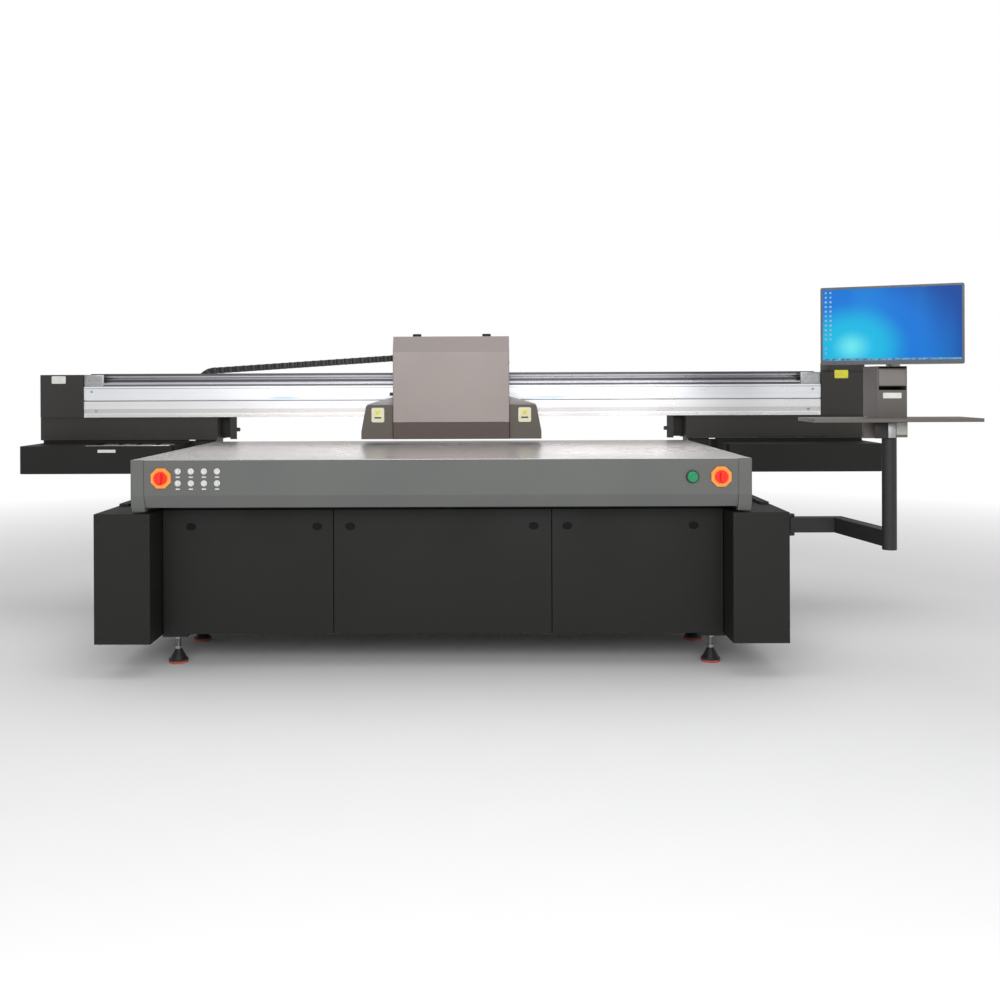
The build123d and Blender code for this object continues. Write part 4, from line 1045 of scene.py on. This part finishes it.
for side, name in ((-1, "left"), (1, "right")):
    screws(f"end_cover_{name}_screws", "gantry",
           [(side * (COVERS[1].x - inset), COVERS[1].y, z) for inset in (0.03, 0.2)
            for z in (COVERS[0].z + 0.03, COVERS[1].z - 0.03)], "y", 6 * MM)
    screws(f"housing_{name}_screws", "gantry",
           [(side * x, HOUSINGS[0].y, z) for x in (1.36, 2.31)
            for z in (HOUSINGS[0].z + 0.02, HOUSINGS[1].z - 0.02)], "-y", 4 * MM,
           gantry_powder_coat)
seals = []
for side in (-1, 1):
    x_span = sorted((side * 1.497, side * 2.330))
    seals.append(block("station_brush_seal",
                       (x_span[0], HOUSINGS[0].y + 0.020, STATIONS[1].z - 4 * MM),
                       (x_span[1], HOUSINGS[0].y + 0.026, HOUSINGS[0].z + 4 * MM),
                       bevel=1 * MM))
fit(join("station_brush_seals", seals), "gantry", black_rubber)
print("gantry trim on")

# %% [markdown]
# ## Console trim
# The desktop on the screen is a column of small square icons and a task bar: tiny lit tiles
# lying on the glass. They are placed on the screen's own plane, which is turned towards the
# operator. Below the shelf, a bright clamp block holds the desk to the post.

# %% Console trim
screen_right = Vector((math.cos(SCREEN_TURN), -math.sin(SCREEN_TURN), 0))
screen_out = Vector((-math.sin(SCREEN_TURN), -math.cos(SCREEN_TURN), 0))
ON_SCREEN = Matrix((screen_right.to_4d(), (-screen_out).to_4d(), (0, 0, 1, 0),
                    (0, 0, 0, 1))).transposed()
ON_SCREEN[3][0] = ON_SCREEN[3][1] = ON_SCREEN[3][2] = 0.0
ON_SCREEN = Matrix.Translation(SCREEN_MIDDLE) @ ON_SCREEN
screen_half = (SCREEN[1].x - SCREEN[0].x) / 2 / math.cos(SCREEN_TURN)
screen_tall = (SCREEN[1].z - SCREEN[0].z) / 2


def lit_tile(name, colour, strength):
    """Part of the lit display, brighter than the picture behind it."""
    material, tree, where = new_material(name)
    shade = add(tree, "ShaderNodeTexNoise", {"Vector": where, "Scale": per_metre(14)})
    tone_share = add(
        tree, "ShaderNodeMapRange", {0: shade.outputs["Fac"], 1: 0.35, 2: 0.65, 3: 0, 4: 1}
    ).outputs[0]
    tone = add(
        tree, "ShaderNodeMix", {0: tone_share, 6: colour, 7: "7CC4E8"}, data_type="RGBA"
    ).outputs[2]
    close(tree, add(tree, "ShaderNodeBsdfPrincipled", {
        "Base Color": linear("101418"), "Roughness": 0.15, "Emission Color": tone,
        "Emission Strength": strength}))
    return material


def tile(name, u, v, wide, tall):
    """A lit tile on the screen: u is to the right of its middle and v is up from it."""
    piece = block(name, (u - wide / 2, -1.1 * MM, v - tall / 2),
                  (u + wide / 2, -0.6 * MM, v + tall / 2), bevel=0.2 * MM, steps=1)
    piece.data.transform(ON_SCREEN)
    return piece


random.seed(7)
icons = []
for column in range(2):
    for row in range(14 if column == 0 else 11):
        if random.random() < 0.86:
            wide = random.choice((7, 8, 9)) * MM
            icons.append(tile("screen_icon", -screen_half + (13 + 19 * column) * MM,
                              screen_tall - (13 + 19.5 * row) * MM, wide, 8 * MM))
icons = join("screen_icons", icons)
fit(icons, "monitor", lit_tile("lit_icon", "9FD0EA", 0.6))
task_bar = tile("screen_task_bar", 0, -screen_tall + 5 * MM, 2 * screen_half - 2 * MM, 8 * MM)
fit(task_bar, "monitor", lit_tile("lit_task_bar", "1E5E9C", 0.7))

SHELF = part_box("console_shelf")
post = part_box("console_arm")[1].x - 30 * MM
block_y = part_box("table_skirts")[0].y + 3 * MM - 49 * MM - 45 * MM
bright_clamp = block("desk_clamp", (post - 0.022, block_y - 6 * MM, SHELF[0].z + 0.003),
                     (post + 0.010, block_y, SHELF[1].z - 0.020), bevel=2 * MM)
fit(bright_clamp, "console_desk", machined_aluminium)
grey_clamp = block("desk_clamp_plate", (post + 0.012, block_y - 5 * MM, SHELF[0].z + 0.016),
                   (post + 0.058, block_y, SHELF[1].z - 0.020), bevel=2 * MM)
fit(grey_clamp, "console_desk", cabinet_powder_coat)
dark_clamp = block("desk_bracket_plate", (post - 0.078, block_y - 4 * MM, SHELF[0].z + 0.001),
                   (post - 0.024, block_y, SHELF[1].z - 0.018), bevel=2 * MM)
fit(dark_clamp, "console_desk", frame_black_powder_coat)
screws("desk_clamp_screws", "console_desk",
       [(post + dx, block_y - 6 * MM, SHELF[1].z - 0.035) for dx in (-0.014, 0.002)]
       + [(post + dx, block_y - 5 * MM, SHELF[1].z - 0.035) for dx in (0.024, 0.046)],
       "-y", 4 * MM)

front_panel = block("console_front_panel",
                    (BOX[0].x + 9 * MM, BOX[0].y - 2 * MM, BOX[1].z - 0.080),
                    (BOX[1].x - 5 * MM, BOX[0].y + 1 * MM, BOX[1].z - 0.014), bevel=1.2 * MM)
dish(front_panel, lambda at, normal: normal.y < -0.95, 4 * MM, 0.6 * MM, 0.8 * MM)
fit(front_panel, "console_desk", console_panel_coat)
post_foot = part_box("console_arm")[0]
plug = disc("post_plug", (post, block_y + 45 * MM, post_foot.z), 28 * MM, 5 * MM, "z", 32)
fit(plug, "console_arm", black_rubber)
print("console trim on")

# %% [markdown]
# ## Back and sides
# The back of the base is reached through plain panels. Two of them carry fans behind wire
# guards: concentric rings joined by spokes. A ring is a torus, and the spokes are thin bars.


# %% Fan guards
def fan_guard(name, middle, radius):
    parts = []
    for share in (0.3, 0.5, 0.7, 0.9):
        clear_hands()
        bpy.ops.mesh.primitive_torus_add(major_radius=radius * share, minor_radius=1.4 * MM,
                                         major_segments=40, minor_segments=6)
        parts.append(bpy.context.object)
    for quarter in range(4):
        spoke = block("spoke", (-1.2 * MM, radius * 0.1, -2.6 * MM), (1.2 * MM, radius, -0.4 * MM),
                      bevel=0.4 * MM, steps=1)
        spoke.data.transform(Matrix.Rotation(quarter * math.pi / 2 + math.pi / 4, 4, "Z"))
        parts.append(spoke)
    guard = settle(join(name, parts))
    guard.data.transform(Matrix.Translation(middle) @ TURN["y"])
    return guard


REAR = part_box("rear_panels")
guard_places = [(x, REAR[1].y + 4 * MM, 0.56) for x in (-0.98, -0.72)]
guards = [fan_guard("fan_guard", place, 0.07) for place in guard_places]
fit(join("rear_fan_guards", guards), "base", zinc_plated_steel)
backs = [disc("fan_back", (x, REAR[1].y, z), 0.074, 2 * MM, "y", 40, bevel=0.6 * MM)
         for x, _, z in guard_places]
fit(join("rear_fan_backs", backs), "base", black_rubber)
rear_screws = [(x, REAR[1].y, z) for x in (-1.22, -0.44, -0.38, 0.38, 0.44, 1.22)
               for z in (REAR[0].z + 0.02, REAR[1].z - 0.02)]
screws("rear_panel_screws", "base", rear_screws, "y", 5 * MM)
inlet = block("mains_inlet", (0.98, REAR[1].y, 0.24), (1.06, REAR[1].y + 0.018, 0.34),
              bevel=3 * MM)
dish(inlet, lambda at, normal: normal.y > 0.95, 10 * MM, 1 * MM, 10 * MM)
fit(inlet, "base", foot_pad_nylon)
print("back dressed")

# %% [markdown]
# ## Camera, floor and light
# The machine stands in a white studio. The camera is a metre and a quarter up, five and a half
# metres off, and looks level, so upright edges stay upright; a small lens shift frames it. The
# room itself gives most of the light, with one broad lamp from the front left and one above.

# %% Camera
scene = bpy.context.scene
camera_data = bpy.data.cameras.new("camera")
camera = bpy.data.objects.new("camera", camera_data)
scene.collection.objects.link(camera)
camera.location = (0.190, TABLE_FRONT - 4.649, TABLE_TOP + 0.326)
camera.rotation_euler = (math.radians(90 - 0.115), 0.004, 0.007)
camera_data.lens = 39.31
camera_data.sensor_width = 36
camera_data.shift_x = 0.0228
camera_data.shift_y = -0.1154
scene.camera = camera

# %% Floor
def studio_floor():
    """Pale floor that fades into the white room a few metres out."""
    material, tree, where = new_material("pale_studio_floor")
    away = add(tree, "ShaderNodeVectorMath", {0: where}, operation="LENGTH")
    fade = add(
        tree, "ShaderNodeMapRange", {0: away.outputs["Value"], 1: 3.5, 2: 8.0, 3: 0, 4: 1}
    ).outputs[0]
    grain = add(tree, "ShaderNodeTexNoise", {"Vector": where, "Scale": per_metre(300)})
    tone = add(
        tree,
        "ShaderNodeMix",
        {0: grain.outputs["Fac"], 6: "F8F8F8", 7: "FBFBFB"},
        data_type="RGBA",
    ).outputs[2]
    matt = add(tree, "ShaderNodeBsdfPrincipled", {"Base Color": tone, "Roughness": 0.8})
    white = add(tree, "ShaderNodeEmission", {"Color": (1, 1, 1, 1), "Strength": 1.0})
    close(tree, add(tree, "ShaderNodeMixShader", {0: fade, 1: matt.outputs[0],
                                                  2: white.outputs[0]}))
    return material


clear_hands()
bpy.ops.mesh.primitive_plane_add(size=60, location=(0, 0, -0.0005))
floor = bpy.context.object
floor.name = "studio_floor"
settle(floor)
floor.data.materials.append(studio_floor())

# %% Light
world = bpy.data.worlds.new("white_studio")
scene.world = world
world.use_nodes = True
sky = world.node_tree
sky.nodes.clear()
room = add(sky, "ShaderNodeBackground", {"Color": (1, 1, 1, 1), "Strength": 0.55})
backdrop = add(sky, "ShaderNodeBackground", {"Color": (1, 1, 1, 1), "Strength": 1.0})
seen = add(sky, "ShaderNodeLightPath").outputs["Is Camera Ray"]
both_skies = add(sky, "ShaderNodeMixShader", {0: seen, 1: room.outputs[0],
                                              2: backdrop.outputs[0]})
add(sky, "ShaderNodeOutputWorld", {"Surface": both_skies.outputs[0]})
scene.view_settings.view_transform = "Standard"


def soft_lamp(name, place, target, size, power):
    data = bpy.data.lights.new(name, "AREA")
    data.shape = "RECTANGLE"
    data.size, data.size_y = size
    data.energy = power
    lamp = bpy.data.objects.new(name, data)
    scene.collection.objects.link(lamp)
    lamp.location = place
    lamp.rotation_euler = (Vector(target) - Vector(place)).to_track_quat("-Z", "Y").to_euler()
    return lamp


soft_lamp("front_lamp", (0.3, -6.0, 2.6), (0, 0, 0.9), (6.0, 2.0), 160)
soft_lamp("top_lamp", (0.5, 0.0, 4.5), (0, 0, 0.8), (5.0, 3.0), 45)
print("stage set")
